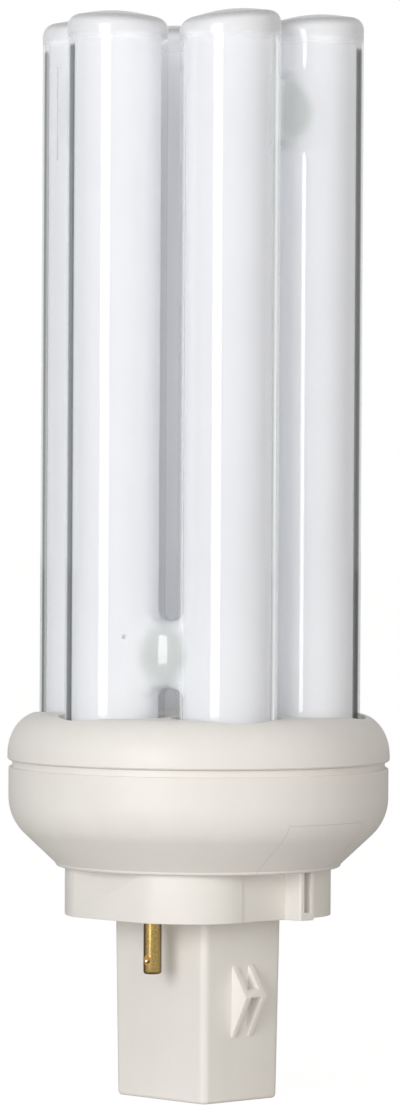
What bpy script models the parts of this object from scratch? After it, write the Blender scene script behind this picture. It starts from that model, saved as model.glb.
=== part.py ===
"""A two pin compact fluorescent lamp: six glass legs fused by bridges, a domed collar,
and a moulded cap whose post, keys, catch teeth and contact pins plug into a lamp holder.

Units are metres and +Z is up. The origin is the centre of the flat end of the post, on the
lamp's axis, and the glass legs stand above it. The contact pins lie towards -Y and +Y, the
catch teeth and the key ribs towards +X and -X.
"""
import math

import bmesh
import bpy
from mathutils import Matrix, Vector

# Driving dimensions: the fused glass tube
LEG_COUNT = 6
LEG_RADIUS = 0.00635
LEG_GAP = 0.0020
LEG_LENGTH_OUTSIDE = 0.0888
LEG_LENGTH_IN_COLLAR = 0.0074
LEG_SHOULDER_RADIUS = 0.0017
LEG_CROWN_HEIGHT = 0.0006
NECK_RADIUS = 0.0039
NECK_FLARE = 0.0006
NECK_SEAT = 0.0004
TOP_NECK_BELOW_TIP = 0.0124
BOTTOM_NECK_ABOVE_COLLAR = 0.0079
PINCH_HALF_WIDTH = 0.0042
PINCH_HALF_THICKNESS = 0.0014
PINCH_START_INSET = 0.0011
PINCH_TAPER_LENGTH = 0.0032
PINCH_LENGTH = 0.0026

# Driving dimensions: the domed collar that the legs stand in
COLLAR_PLATE = 0.0015
COLLAR_INSIDE_RISE = 0.0022
COLLAR_INNER_ROUND = 0.0012
COLLAR_SHOULDER = 0.0007
COLLAR_ROUND_WIDTH = 0.0041
COLLAR_LIP_STRAIGHT = 0.0007
COLLAR_LIP_WALL = 0.0009
LEG_HOLE_CLEARANCE = 0.0003
LEG_RECESS_CLEARANCE = 0.00075
LEG_RECESS_DEPTH = 0.0009

# Driving dimensions: the joint between collar and cap
SHADOW_GAP = 0.0009
TONGUE_WALL = 0.00095
TONGUE_HEIGHT = 0.0029
TONGUE_CLEARANCE = 0.0002
TONGUE_LEAD_IN = 0.0003
SNAP_BEAD_HEIGHT = 0.00015
SNAP_BEAD_HALF_WIDTH = 0.0003
SNAP_BEAD_BELOW_TIP = 0.0012

# Driving dimensions: the moulded cap
LEG_TO_CAP_CLEARANCE = 0.0013
BOWL_WALL = 0.0019
BOWL_SIDE_HEIGHT = 0.00375
BOWL_BOTTOM_EDGE = 0.0004
BOWL_SLOPE_DEGREES = 43.3
BOWL_BEND_RADIUS = 0.0065
SKIRT_STEP = 0.00125
SKIRT_BULGE = 0.0014
SKIRT_HEIGHT = 0.0062
SKIRT_WALL = 0.0016
SKIRT_EDGE_CHAMFER = 0.0004
SEAT_FLOOR = 0.0018
PIN_TO_FLAT = 0.0046
PIN_FLAT_FACET = 0.0009
POST_TO_KEY_FLAT = 0.0055
KEY_CORNER_RADIUS = 0.0085
KEY_PANEL_HALF_WIDTH = 0.0057
KEY_PANEL_DEPTH = 0.0003
KEY_RIB_OFFSET = 0.0034
KEY_RIB_WIDTH = 0.0026
KEY_RIB_REACH = 0.0025
KEY_SLOT_WIDTH = 0.0012
KEY_SLOT_DEPTH = 0.0016
KEY_SLOT_WEB = 0.00095
POST_LENGTH = 0.0233
POST_DRAFT = 0.0003
POST_WALL = 0.0013
POST_CORNER_RADIUS = 0.0010
POST_FOOT_RADIUS = 0.0005
POST_END_WALL = 0.0012

# Driving dimensions: the catch teeth on the post
TOOTH_BOTTOM = 0.0082
TOOTH_LOWER_RUN = 0.0052
TOOTH_UPPER_RUN = 0.0040
TOOTH_REACH = 0.0026
TOOTH_WIDTH = 0.0039
TOOTH_FIN = 0.00105
TOOTH_WEB = 0.0010
TOOTH_ROOT = 0.0006
TOOTH_POCKET_MARGIN = 0.0010

# Driving dimensions: the contact pins
PIN_RADIUS = 0.00115
PIN_LENGTH = 0.0068
PIN_SIDE_OFFSET = 0.0033
POST_TO_PIN = 0.0041
PIN_HOLE_CLEARANCE = 0.00015
PIN_TIP_CHAMFER = 0.00035
PIN_FLANGE_REACH = 0.00085
PIN_FLANGE_THICKNESS = 0.0008
PIN_NECK_RADIUS = 0.0008
PIN_NECK_LENGTH = 0.0016
PIN_DIMPLE_RADIUS = 0.0005
PIN_DIMPLE_ABOVE_TIP = 0.0012
PIN_DIMPLE_DEPTH = 0.0002

# Driving dimensions: cement, starter, capacitor and wiring inside the cap
CEMENT_GAP = 0.00015
CEMENT_THICKNESS = 0.00045
CEMENT_HEIGHT = 0.0040
SEAT_GAP = 0.0003
CONTENT_GAP = 0.0006
STARTER_RADIUS = 0.0041
STARTER_HEIGHT = 0.0170
STARTER_ROUND = 0.0016
STARTER_NECK_RADIUS = 0.0024
STARTER_NECK_HEIGHT = 0.0022
STARTER_LEAD_OFFSET = 0.0015
STARTER_TO_CAPACITOR = 0.00045
CAPACITOR_THICKNESS = 0.00395
CAPACITOR_WIDTH = 0.0094
CAPACITOR_HEIGHT = 0.0120
CAPACITOR_EDGE = 0.0008
CAPACITOR_LEAD_OFFSET = 0.0025
WIRE_RADIUS = 0.0003
WIRE_BEND = 0.0012
WIRE_DIP_SHARE = 0.4
ELECTRODE_LEAD_OFFSET = 0.0015
SPLICE_LENGTH = 0.0036
SPLICE_WALL = 0.0003
SPLICE_ABOVE_STARTER = 0.0030
SLEEVE_LENGTH = 0.0030
SLEEVE_WALL = 0.0003

# How fine the round forms are
CAP_SEGMENTS = 60
LEG_SEGMENTS = 28
NECK_SEGMENTS = 20
RING_SEGMENTS = 18
SMALL_SEGMENTS = 18
ARC_STEPS = 3
SHARP_ANGLE = math.radians(32.0)
WELD_DISTANCE = 0.000002

# Radii and half sizes worked out from the driving dimensions, from the glass outwards
LEG_CIRCLE_RADIUS = (2.0 * LEG_RADIUS + LEG_GAP) / (2.0 * math.sin(math.pi / LEG_COUNT))
BOWL_INNER_RADIUS = LEG_CIRCLE_RADIUS + LEG_RADIUS + LEG_TO_CAP_CLEARANCE
BOWL_RADIUS = BOWL_INNER_RADIUS + BOWL_WALL
TONGUE_RADIUS = BOWL_INNER_RADIUS + TONGUE_WALL
MOUTH_RADIUS = TONGUE_RADIUS + TONGUE_CLEARANCE
COLLAR_RADIUS = MOUTH_RADIUS + COLLAR_LIP_WALL
POST_HALF_WIDTH = (STARTER_RADIUS + (STARTER_TO_CAPACITOR + CAPACITOR_THICKNESS) / 2.0
                   + CONTENT_GAP + POST_WALL + POST_DRAFT)
POST_HALF_DEPTH = max(STARTER_RADIUS, CAPACITOR_WIDTH / 2.0) + CONTENT_GAP + POST_WALL + POST_DRAFT
PIN_Y = -(POST_HALF_DEPTH + POST_TO_PIN)
PIN_FLAT_OFFSET = PIN_TO_FLAT - PIN_Y
KEY_FLAT_OFFSET = POST_HALF_WIDTH + POST_TO_KEY_FLAT
SKIRT_RADIUS = PIN_FLAT_OFFSET + SKIRT_BULGE
BOWL_BOTTOM_RADIUS = SKIRT_RADIUS + SKIRT_STEP

# The bowl's slope and the bend above it
BOWL_SLOPE = math.radians(BOWL_SLOPE_DEGREES)
BOWL_BEND_RISE = math.tan((math.pi / 2.0 - BOWL_SLOPE) / 2.0)
BOWL_SLOPE_RISE = (BOWL_RADIUS - BOWL_BOTTOM_RADIUS) * math.tan(BOWL_SLOPE)

# Heights above the end of the post
SEAT_Z = POST_LENGTH
BOWL_BOTTOM_Z = SEAT_Z + SKIRT_HEIGHT
BOWL_BEND_Z = BOWL_BOTTOM_Z + BOWL_BOTTOM_EDGE + BOWL_SLOPE_RISE + BOWL_BEND_RADIUS * BOWL_BEND_RISE
RIM_Z = BOWL_BEND_Z + BOWL_SIDE_HEIGHT
LIP_Z = RIM_Z + SHADOW_GAP
TONGUE_TOP_Z = RIM_Z + TONGUE_HEIGHT
SNAP_BEAD_Z = TONGUE_TOP_Z - SNAP_BEAD_BELOW_TIP
SHOULDER_Z = TONGUE_TOP_Z + SEAT_GAP
PLATE_UNDER_Z = SHOULDER_Z + COLLAR_INSIDE_RISE
COLLAR_TOP_Z = PLATE_UNDER_Z + COLLAR_PLATE
TUBE_TOP_Z = COLLAR_TOP_Z + LEG_LENGTH_OUTSIDE
LEG_END_Z = COLLAR_TOP_Z - LEG_LENGTH_IN_COLLAR
PINCH_END_Z = LEG_END_Z - PINCH_TAPER_LENGTH - PINCH_LENGTH
TOOTH_APEX = TOOTH_BOTTOM + TOOTH_LOWER_RUN
TOOTH_TOP = TOOTH_APEX + TOOTH_UPPER_RUN

# Which legs the glass necks join, numbered anticlockwise from the one towards -Y
TOP_PAIRS = ((1, 2), (0, 5), (3, 4))
BOTTOM_PAIRS = ((0, 1), (2, 3))
ELECTRODE_LEGS = (5, 4)


def make_collection(name):
    made = bpy.data.collections.new(name)
    bpy.context.scene.collection.children.link(made)
    return made


def make_material(name, colour, roughness, metallic=0.0, coat=0.0):
    made = bpy.data.materials.new(name)
    made.use_nodes = True
    shader = made.node_tree.nodes["Principled BSDF"]
    shader.inputs["Base Color"].default_value = (*colour, 1.0)
    shader.inputs["Roughness"].default_value = roughness
    shader.inputs["Metallic"].default_value = metallic
    shader.inputs["Coat Weight"].default_value = coat
    made.diffuse_color = (*colour, 1.0)
    return made


def arc(centre, radii, start_degrees, end_degrees, steps=ARC_STEPS):
    """Points on a circle or an ellipse, both ends included."""
    points = []
    for step in range(steps + 1):
        angle = math.radians(start_degrees + (end_degrees - start_degrees) * step / steps)
        points.append((centre[0] + radii[0] * math.cos(angle), centre[1] + radii[1] * math.sin(angle)))
    return points


def leg_direction(number):
    angle = number * 2.0 * math.pi / LEG_COUNT
    return Vector((math.sin(angle), -math.cos(angle), 0.0))


def leg_place(number):
    return leg_direction(number) * LEG_CIRCLE_RADIUS


def link(piece, collection):
    collection.objects.link(piece)
    if collection is cutters:
        piece.hide_render = True
        piece.display_type = "WIRE"
    return piece


def turned(name, profile, segments, collection, closed=False):
    """Turn (radius, height) points about Z; the outer side runs from top to bottom."""
    mesh = bpy.data.meshes.new(name)
    edges = [(index, index + 1) for index in range(len(profile) - 1)]
    if closed:
        edges.append((len(profile) - 1, 0))
    mesh.from_pydata([(radius, 0.0, height) for radius, height in profile], edges, [])
    piece = bpy.data.objects.new(name, mesh)
    screw = piece.modifiers.new("turn", "SCREW")
    screw.angle = 2.0 * math.pi
    screw.steps = segments
    screw.render_steps = segments
    screw.use_merge_vertices = True
    screw.merge_threshold = 0.00001
    return link(piece, collection)


def from_bmesh(name, bm, collection):
    mesh = bpy.data.meshes.new(name)
    bmesh.ops.recalc_face_normals(bm, faces=bm.faces)
    bm.to_mesh(mesh)
    bm.free()
    return link(bpy.data.objects.new(name, mesh), collection)


def prism_mesh(outline, low, high):
    """A flat outline in X and Y made thick along Z."""
    bm = bmesh.new()
    face = bm.faces.new([bm.verts.new((x, y, low)) for x, y in outline])
    grown = bmesh.ops.extrude_face_region(bm, geom=[face])
    moved = [item for item in grown["geom"] if isinstance(item, bmesh.types.BMVert)]
    bmesh.ops.translate(bm, vec=(0.0, 0.0, high - low), verts=moved)
    return bm


def edges_at_height(bm, height):
    """The edges that lie flat at one height."""
    return [edge for edge in bm.edges if all(abs(vert.co.z - height) < 1e-7 for vert in edge.verts)]


def bevel(bm, edges, width, segments):
    bmesh.ops.bevel(bm, geom=edges, offset=width, segments=segments, profile=0.5, affect="EDGES")


def boolean(piece, other, operation):
    step = piece.modifiers.new(f"{operation.lower()}_{other.name}", "BOOLEAN")
    step.operation = operation
    step.solver = "EXACT"
    step.object = other


def place(piece, location, turn=0.0):
    piece.location = location
    piece.rotation_euler = (0.0, 0.0, turn)
    return piece


def leg_profile():
    """One glass leg: a long cylinder whose two ends are flat domes with rounded shoulders."""
    flat_radius = LEG_RADIUS - LEG_SHOULDER_RADIUS
    top_shoulder = TUBE_TOP_Z - LEG_CROWN_HEIGHT - LEG_SHOULDER_RADIUS
    bottom_shoulder = LEG_END_Z + LEG_CROWN_HEIGHT + LEG_SHOULDER_RADIUS
    shoulder = (LEG_SHOULDER_RADIUS, LEG_SHOULDER_RADIUS)
    top = arc((flat_radius, top_shoulder), shoulder, 78.0, 0.0)
    bottom = arc((flat_radius, bottom_shoulder), shoulder, 0.0, -78.0)
    return [(0.0, TUBE_TOP_Z), *top, *bottom, (0.0, LEG_END_Z)]


def glass_leg(name, number, collection):
    return place(turned(name, leg_profile(), LEG_SEGMENTS, collection), leg_place(number))


def glass_neck(name, pair, height):
    """A short fused neck between two legs, waisted in the middle."""
    start, end = (leg_place(number) for number in pair)
    end_radius = NECK_RADIUS + NECK_FLARE
    half_pitch = (end - start).length / 2.0
    half_length = half_pitch - math.sqrt(LEG_RADIUS**2 - end_radius**2) + NECK_SEAT
    sweep = (half_length**2 + NECK_FLARE**2) / (2.0 * NECK_FLARE)
    half_angle = math.degrees(math.asin(half_length / sweep))
    waist = arc((NECK_RADIUS + sweep, 0.0), (-sweep, sweep), half_angle, -half_angle, 6)
    profile = [(0.0, half_length), *waist, (0.0, -half_length)]
    neck = turned(name, profile, NECK_SEGMENTS, cutters)
    middle = (start + end) / 2.0
    neck.location = (middle.x, middle.y, height)
    neck.rotation_euler = (end - start).to_track_quat("Z", "Y").to_euler()
    return neck


def glass_pinch(name, number):
    """The flattened seal below an electrode's leg, where its two lead wires come out."""
    start_radius = LEG_RADIUS - PINCH_START_INSET
    start_depth = LEG_CROWN_HEIGHT + LEG_SHOULDER_RADIUS
    bm = bmesh.new()
    bmesh.ops.create_circle(bm, cap_ends=True, segments=LEG_SEGMENTS, radius=start_radius)
    steps = (
        (PINCH_HALF_WIDTH / start_radius, PINCH_HALF_THICKNESS / start_radius,
         start_depth + PINCH_TAPER_LENGTH),
        (1.0, 1.0, PINCH_LENGTH),
    )
    end_face = bm.faces[:][0]
    for count, (scale_x, scale_y, drop) in enumerate(steps):
        grown = bmesh.ops.extrude_face_region(bm, geom=[end_face])["geom"]
        if count > 0:
            bmesh.ops.delete(bm, geom=[end_face], context="FACES_ONLY")
        verts = [item for item in grown if isinstance(item, bmesh.types.BMVert)]
        bmesh.ops.scale(bm, vec=(scale_x, scale_y, 1.0), verts=verts)
        bmesh.ops.translate(bm, vec=(0.0, 0.0, -drop), verts=verts)
        end_face = next(item for item in grown if isinstance(item, bmesh.types.BMFace))
    pinch = from_bmesh(name, bm, cutters)
    outward = leg_direction(number)
    place(pinch, leg_place(number), math.atan2(outward.x, -outward.y))
    pinch.location.z = LEG_END_Z + start_depth
    return pinch


def make_discharge_tube():
    """The legs, their necks and the two pinches are one fused and sealed piece of glass."""
    tube = glass_leg("discharge_tube", 0, parts)
    for number in range(1, LEG_COUNT):
        boolean(tube, glass_leg(f"leg_{number}", number, cutters), "UNION")
    necks = [(pair, TUBE_TOP_Z - TOP_NECK_BELOW_TIP) for pair in TOP_PAIRS]
    necks += [(pair, COLLAR_TOP_Z + BOTTOM_NECK_ABOVE_COLLAR) for pair in BOTTOM_PAIRS]
    for count, (pair, height) in enumerate(necks, start=1):
        boolean(tube, glass_neck(f"neck_{count}", pair, height), "UNION")
    for count, number in enumerate(ELECTRODE_LEGS, start=1):
        boolean(tube, glass_pinch(f"pinch_{count}", number), "UNION")
    return tube


def make_collar():
    """A domed disc with a hanging lip; six stepped holes hold the legs."""
    round_height = COLLAR_TOP_Z - LIP_Z - COLLAR_LIP_STRAIGHT
    round_centre = (COLLAR_RADIUS - COLLAR_ROUND_WIDTH, COLLAR_TOP_Z - round_height)
    dome = arc(round_centre, (COLLAR_ROUND_WIDTH, round_height), 90.0, 0.0, 6)
    inner = MOUTH_RADIUS - COLLAR_SHOULDER
    inner_round = arc(
        (inner - COLLAR_INNER_ROUND, PLATE_UNDER_Z - COLLAR_INNER_ROUND),
        (COLLAR_INNER_ROUND, COLLAR_INNER_ROUND), 0.0, 90.0, 2)
    profile = [
        (0.0, COLLAR_TOP_Z), *dome, (COLLAR_RADIUS, LIP_Z), (MOUTH_RADIUS, LIP_Z),
        (MOUTH_RADIUS, SNAP_BEAD_Z - SNAP_BEAD_HALF_WIDTH), (MOUTH_RADIUS + SNAP_BEAD_HEIGHT, SNAP_BEAD_Z),
        (MOUTH_RADIUS, SNAP_BEAD_Z + SNAP_BEAD_HALF_WIDTH), (MOUTH_RADIUS, SHOULDER_Z), (inner, SHOULDER_Z),
        *inner_round, (0.0, PLATE_UNDER_Z),
    ]
    collar = turned("tube_collar", profile, CAP_SEGMENTS, parts)
    recess = LEG_RADIUS + LEG_RECESS_CLEARANCE
    hole = LEG_RADIUS + LEG_HOLE_CLEARANCE
    step_z = COLLAR_TOP_Z - LEG_RECESS_DEPTH
    above = COLLAR_TOP_Z + COLLAR_PLATE
    below = PLATE_UNDER_Z - COLLAR_PLATE
    hole_profile = [(0.0, above), (recess, above), (recess, step_z), (hole, step_z), (hole, below), (0.0, below)]
    for number in range(LEG_COUNT):
        drill = turned(f"leg_hole_{number + 1}", hole_profile, LEG_SEGMENTS, cutters)
        boolean(collar, place(drill, leg_place(number)), "DIFFERENCE")
    return collar


def bowl_bend(radius, bend_radius, height, steps):
    """The round bend from the bowl's straight side into its slope."""
    return arc((radius - bend_radius, height), (bend_radius, bend_radius),
               0.0, BOWL_SLOPE_DEGREES - 90.0, steps)


def bowl_outer_profile():
    """The outside of the cap's bowl, from the snap tongue down to the flat underside."""
    return [
        (0.0, TONGUE_TOP_Z), (TONGUE_RADIUS - TONGUE_LEAD_IN, TONGUE_TOP_Z),
        (TONGUE_RADIUS, TONGUE_TOP_Z - TONGUE_LEAD_IN), (TONGUE_RADIUS, SNAP_BEAD_Z + SNAP_BEAD_HALF_WIDTH),
        (TONGUE_RADIUS + SNAP_BEAD_HEIGHT, SNAP_BEAD_Z), (TONGUE_RADIUS, SNAP_BEAD_Z - SNAP_BEAD_HALF_WIDTH),
        (TONGUE_RADIUS, RIM_Z), (BOWL_RADIUS, RIM_Z),
        *bowl_bend(BOWL_RADIUS, BOWL_BEND_RADIUS, BOWL_BEND_Z, 4),
        (BOWL_BOTTOM_RADIUS, BOWL_BOTTOM_Z + BOWL_BOTTOM_EDGE),
        (BOWL_BOTTOM_RADIUS - BOWL_BOTTOM_EDGE, BOWL_BOTTOM_Z), (0.0, BOWL_BOTTOM_Z),
    ]


def bowl_inner_profile():
    """The hollow of the bowl, one wall inside its outer form, open at the top."""
    floor_z = BOWL_BOTTOM_Z + SEAT_FLOOR
    floor_radius = BOWL_BOTTOM_RADIUS - BOWL_WALL * math.sin(BOWL_SLOPE)
    bend_radius = BOWL_BEND_RADIUS - BOWL_WALL
    bend_z = floor_z + (BOWL_INNER_RADIUS - floor_radius) * math.tan(BOWL_SLOPE) + bend_radius * BOWL_BEND_RISE
    above = TONGUE_TOP_Z + BOWL_WALL
    return [
        (0.0, above), (BOWL_INNER_RADIUS, above),
        *bowl_bend(BOWL_INNER_RADIUS, bend_radius, bend_z, 2),
        (floor_radius, floor_z), (0.0, floor_z),
    ]


def skirt_half_outline(inset, with_keys):
    """Half of the skirt's outline, from the +X side's lower corner round to the -X side."""
    radius = SKIRT_RADIUS - inset
    key_x = KEY_FLAT_OFFSET - inset
    pin_y = PIN_FLAT_OFFSET - inset
    corner_radius = KEY_CORNER_RADIUS - inset
    corner_x = key_x - corner_radius
    corner_y = math.sqrt((radius - corner_radius)**2 - corner_x**2)
    corner_turn = math.degrees(math.atan2(corner_y, corner_x))
    pin_corner = math.degrees(math.asin(pin_y / radius))
    facet = math.degrees(PIN_FLAT_FACET / radius)
    flat_end = math.sqrt(radius**2 - pin_y**2) - PIN_FLAT_FACET / 2.0
    points = []
    if with_keys:
        panel_x = key_x - KEY_PANEL_DEPTH
        rib_low = KEY_RIB_OFFSET - KEY_RIB_WIDTH / 2.0
        rib_high = KEY_RIB_OFFSET + KEY_RIB_WIDTH / 2.0
        rib_x = KEY_FLAT_OFFSET + KEY_RIB_REACH
        points += [
            (key_x, -KEY_PANEL_HALF_WIDTH), (panel_x, -KEY_PANEL_HALF_WIDTH), (panel_x, rib_low),
            (rib_x, rib_low), (rib_x, rib_high), (panel_x, rib_high),
            (panel_x, KEY_PANEL_HALF_WIDTH), (key_x, KEY_PANEL_HALF_WIDTH),
        ]
    points += arc((corner_x, corner_y), (corner_radius, corner_radius), 0.0, corner_turn, 6)
    points += arc((0.0, 0.0), (radius, radius), corner_turn, pin_corner - facet, 2)[1:]
    points += [(flat_end, pin_y), (-flat_end, pin_y)]
    points += arc((0.0, 0.0), (radius, radius), 180.0 - pin_corner + facet, 180.0 - corner_turn, 2)
    points += arc((-corner_x, corner_y), (corner_radius, corner_radius), 180.0 - corner_turn, 180.0, 6)[1:]
    return points


def skirt_outline(inset, with_keys):
    """The whole outline: the second half is the first one turned half a turn."""
    half = skirt_half_outline(inset, with_keys)
    return half + [(-x, -y) for x, y in half]


def make_skirt():
    bm = prism_mesh(skirt_outline(0.0, True), SEAT_Z, BOWL_BOTTOM_Z + SEAT_FLOOR / 2.0)
    bevel(bm, edges_at_height(bm, SEAT_Z), SKIRT_EDGE_CHAMFER, 1)
    return from_bmesh("skirt_form", bm, cutters)


def make_skirt_hollow():
    low = SEAT_Z + SEAT_FLOOR
    high = BOWL_BOTTOM_Z + SEAT_FLOOR * 1.5
    bm = prism_mesh(skirt_outline(SKIRT_WALL + KEY_PANEL_DEPTH, False), low, high)
    return from_bmesh("skirt_hollow", bm, cutters)


def tapered_box(name, top_half, bottom_half, low, high, corner, foot):
    """A box that narrows downwards, with rounded uprights and a rounded foot."""
    bm = bmesh.new()
    bmesh.ops.create_cube(bm, size=2.0)
    for vert in bm.verts:
        half = top_half if vert.co.z > 0.0 else bottom_half
        height = high if vert.co.z > 0.0 else low
        vert.co = Vector((vert.co.x * half[0], vert.co.y * half[1], height))
    uprights = [edge for edge in bm.edges if abs(edge.verts[0].co.z - edge.verts[1].co.z) > 1e-6]
    bevel(bm, uprights, corner, 4)
    if foot > 0.0:
        bevel(bm, edges_at_height(bm, low), foot, 2)
    return from_bmesh(name, bm, cutters)


def post_half_sizes(height, inset):
    """Half width and half depth of the post at a height, less an inset for its hollow."""
    shrink = POST_DRAFT * (1.0 - height / POST_LENGTH) + inset
    return POST_HALF_WIDTH - shrink, POST_HALF_DEPTH - shrink


def make_post():
    high = SEAT_Z + SEAT_FLOOR / 2.0
    return tapered_box("post_form", post_half_sizes(high, 0.0), post_half_sizes(0.0, 0.0),
                       0.0, high, POST_CORNER_RADIUS, POST_FOOT_RADIUS)


def make_post_hollow():
    low = POST_END_WALL
    high = SEAT_Z + SEAT_FLOOR * 1.5
    return tapered_box("post_hollow", post_half_sizes(high, POST_WALL), post_half_sizes(low, POST_WALL),
                       low, high, POST_CORNER_RADIUS / 2.0, 0.0)


def tooth_triangle(name):
    """The tooth's triangular side, as wide as the tooth, rooted in the post's wall."""
    face_x = post_half_sizes(TOOTH_APEX, 0.0)[0]
    root_x = face_x - TOOTH_ROOT
    outline = [
        (root_x, TOOTH_BOTTOM), (face_x, TOOTH_BOTTOM), (face_x + TOOTH_REACH, TOOTH_APEX),
        (face_x, TOOTH_TOP), (root_x, TOOTH_TOP),
    ]
    bm = prism_mesh(outline, -TOOTH_WIDTH / 2.0, TOOTH_WIDTH / 2.0)
    bmesh.ops.rotate(bm, matrix=Matrix.Rotation(math.pi / 2.0, 3, "X"), verts=bm.verts)
    return from_bmesh(name, bm, cutters)


def tooth_pocket(name, low, high):
    """The hollow between the fins, above or below the web."""
    centre_x = post_half_sizes(TOOTH_APEX, 0.0)[0]
    length = 2.0 * (TOOTH_REACH + TOOTH_POCKET_MARGIN)
    bm = bmesh.new()
    bmesh.ops.create_cube(bm, size=1.0)
    bmesh.ops.scale(bm, vec=(length, TOOTH_WIDTH - 2.0 * TOOTH_FIN, high - low), verts=bm.verts)
    bmesh.ops.translate(bm, vec=(centre_x, 0.0, (low + high) / 2.0), verts=bm.verts)
    return from_bmesh(name, bm, cutters)


def add_teeth(cap):
    """Each tooth is cored out to two fins and a web between them, on both ends of the post."""
    for side, turn in enumerate((0.0, math.pi), start=1):
        tooth = tooth_triangle(f"tooth_{side}")
        pockets = (
            tooth_pocket(f"tooth_{side}_lower_pocket", TOOTH_BOTTOM - TOOTH_POCKET_MARGIN, TOOTH_APEX),
            tooth_pocket(f"tooth_{side}_upper_pocket", TOOTH_APEX + TOOTH_WEB, TOOTH_TOP + TOOTH_POCKET_MARGIN),
        )
        for pocket in pockets:
            boolean(tooth, place(pocket, (0.0, 0.0, 0.0), turn), "DIFFERENCE")
        boolean(cap, place(tooth, (0.0, 0.0, 0.0), turn), "UNION")


def cut_key_slots(cap):
    """An open slot runs up each key rib from the web at its foot."""
    low = SEAT_Z + KEY_SLOT_WEB
    high = BOWL_BOTTOM_Z
    rib_end = KEY_FLAT_OFFSET + KEY_RIB_REACH
    for side, turn in enumerate((0.0, math.pi), start=1):
        bm = bmesh.new()
        bmesh.ops.create_cube(bm, size=1.0)
        bmesh.ops.scale(bm, vec=(KEY_SLOT_DEPTH * 2.0, KEY_SLOT_WIDTH, high - low), verts=bm.verts)
        bmesh.ops.translate(bm, vec=(rib_end, KEY_RIB_OFFSET, (low + high) / 2.0), verts=bm.verts)
        slot = from_bmesh(f"key_slot_{side}", bm, cutters)
        boolean(cap, place(slot, (0.0, 0.0, 0.0), turn), "DIFFERENCE")


def cut_pin_holes(cap):
    radius = PIN_RADIUS + PIN_HOLE_CLEARANCE
    above = SEAT_Z + SEAT_FLOOR * 2.0
    below = SEAT_Z - SEAT_FLOOR
    profile = [(0.0, above), (radius, above), (radius, below), (0.0, below)]
    for number, centre in enumerate(pin_places(), start=1):
        drill = turned(f"pin_hole_{number}", profile, SMALL_SEGMENTS, cutters)
        boolean(cap, place(drill, centre), "DIFFERENCE")


def make_cap():
    """Bowl, skirt, post, teeth and key ribs are one moulding with an even wall."""
    cap = turned("cap_body", bowl_outer_profile(), CAP_SEGMENTS, parts)
    boolean(cap, make_skirt(), "UNION")
    boolean(cap, make_post(), "UNION")
    add_teeth(cap)
    boolean(cap, turned("bowl_hollow", bowl_inner_profile(), CAP_SEGMENTS, cutters), "DIFFERENCE")
    boolean(cap, make_skirt_hollow(), "DIFFERENCE")
    boolean(cap, make_post_hollow(), "DIFFERENCE")
    cut_key_slots(cap)
    cut_pin_holes(cap)
    return cap


def pin_places():
    return (Vector((PIN_SIDE_OFFSET, PIN_Y, 0.0)), Vector((-PIN_SIDE_OFFSET, -PIN_Y, 0.0)))


def pin_top_z():
    return SEAT_Z + SEAT_FLOOR + SEAT_GAP + PIN_FLANGE_THICKNESS + PIN_NECK_LENGTH


def make_contact_pins():
    """Brass pins with a chamfered tip, a crimp dimple and a flange inside the seat."""
    tip_z = SEAT_Z - PIN_LENGTH
    flange_z = SEAT_Z + SEAT_FLOOR + SEAT_GAP
    flange_radius = PIN_RADIUS + PIN_FLANGE_REACH
    profile = [
        (0.0, pin_top_z()), (PIN_NECK_RADIUS, pin_top_z()),
        (PIN_NECK_RADIUS, flange_z + PIN_FLANGE_THICKNESS),
        (flange_radius, flange_z + PIN_FLANGE_THICKNESS), (flange_radius, flange_z),
        (PIN_RADIUS, flange_z), (PIN_RADIUS, tip_z + PIN_TIP_CHAMFER),
        (PIN_RADIUS - PIN_TIP_CHAMFER, tip_z), (0.0, tip_z),
    ]
    pins = []
    for number, centre in enumerate(pin_places(), start=1):
        pin = place(turned(f"contact_pin_{number}", profile, SMALL_SEGMENTS, parts), centre)
        bm = bmesh.new()
        bmesh.ops.create_uvsphere(bm, u_segments=12, v_segments=8, radius=PIN_DIMPLE_RADIUS)
        outward = math.copysign(PIN_RADIUS + PIN_DIMPLE_RADIUS - PIN_DIMPLE_DEPTH, centre.y)
        bmesh.ops.translate(bm, vec=(0.0, outward, tip_z + PIN_DIMPLE_ABOVE_TIP), verts=bm.verts)
        boolean(pin, place(from_bmesh(f"pin_dimple_{number}", bm, cutters), centre), "DIFFERENCE")
        pins.append(pin)
    return pins


def make_cement():
    """A ring of cement under the collar's plate holds each leg."""
    inner = LEG_RADIUS + CEMENT_GAP
    outer = inner + CEMENT_THICKNESS
    high = PLATE_UNDER_Z - SEAT_GAP
    low = high - CEMENT_HEIGHT
    profile = [(outer, high), (outer, low), (inner, low), (inner, high)]
    rings = []
    for number in range(LEG_COUNT):
        ring = turned(f"tube_cement_{number + 1}", profile, RING_SEGMENTS, parts, closed=True)
        rings.append(place(ring, leg_place(number)))
    return rings


def component_floor_z():
    return POST_END_WALL + SEAT_GAP


def starter_x():
    """The starter stands against the post's -X wall, beside the capacitor."""
    return -(post_half_sizes(0.0, POST_WALL)[0] - CONTENT_GAP - STARTER_RADIUS)


def capacitor_x():
    return starter_x() + STARTER_RADIUS + STARTER_TO_CAPACITOR + CAPACITOR_THICKNESS / 2.0


def starter_top_z():
    return component_floor_z() + STARTER_HEIGHT + STARTER_NECK_HEIGHT


def capacitor_top_z():
    return component_floor_z() + CAPACITOR_HEIGHT


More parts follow.
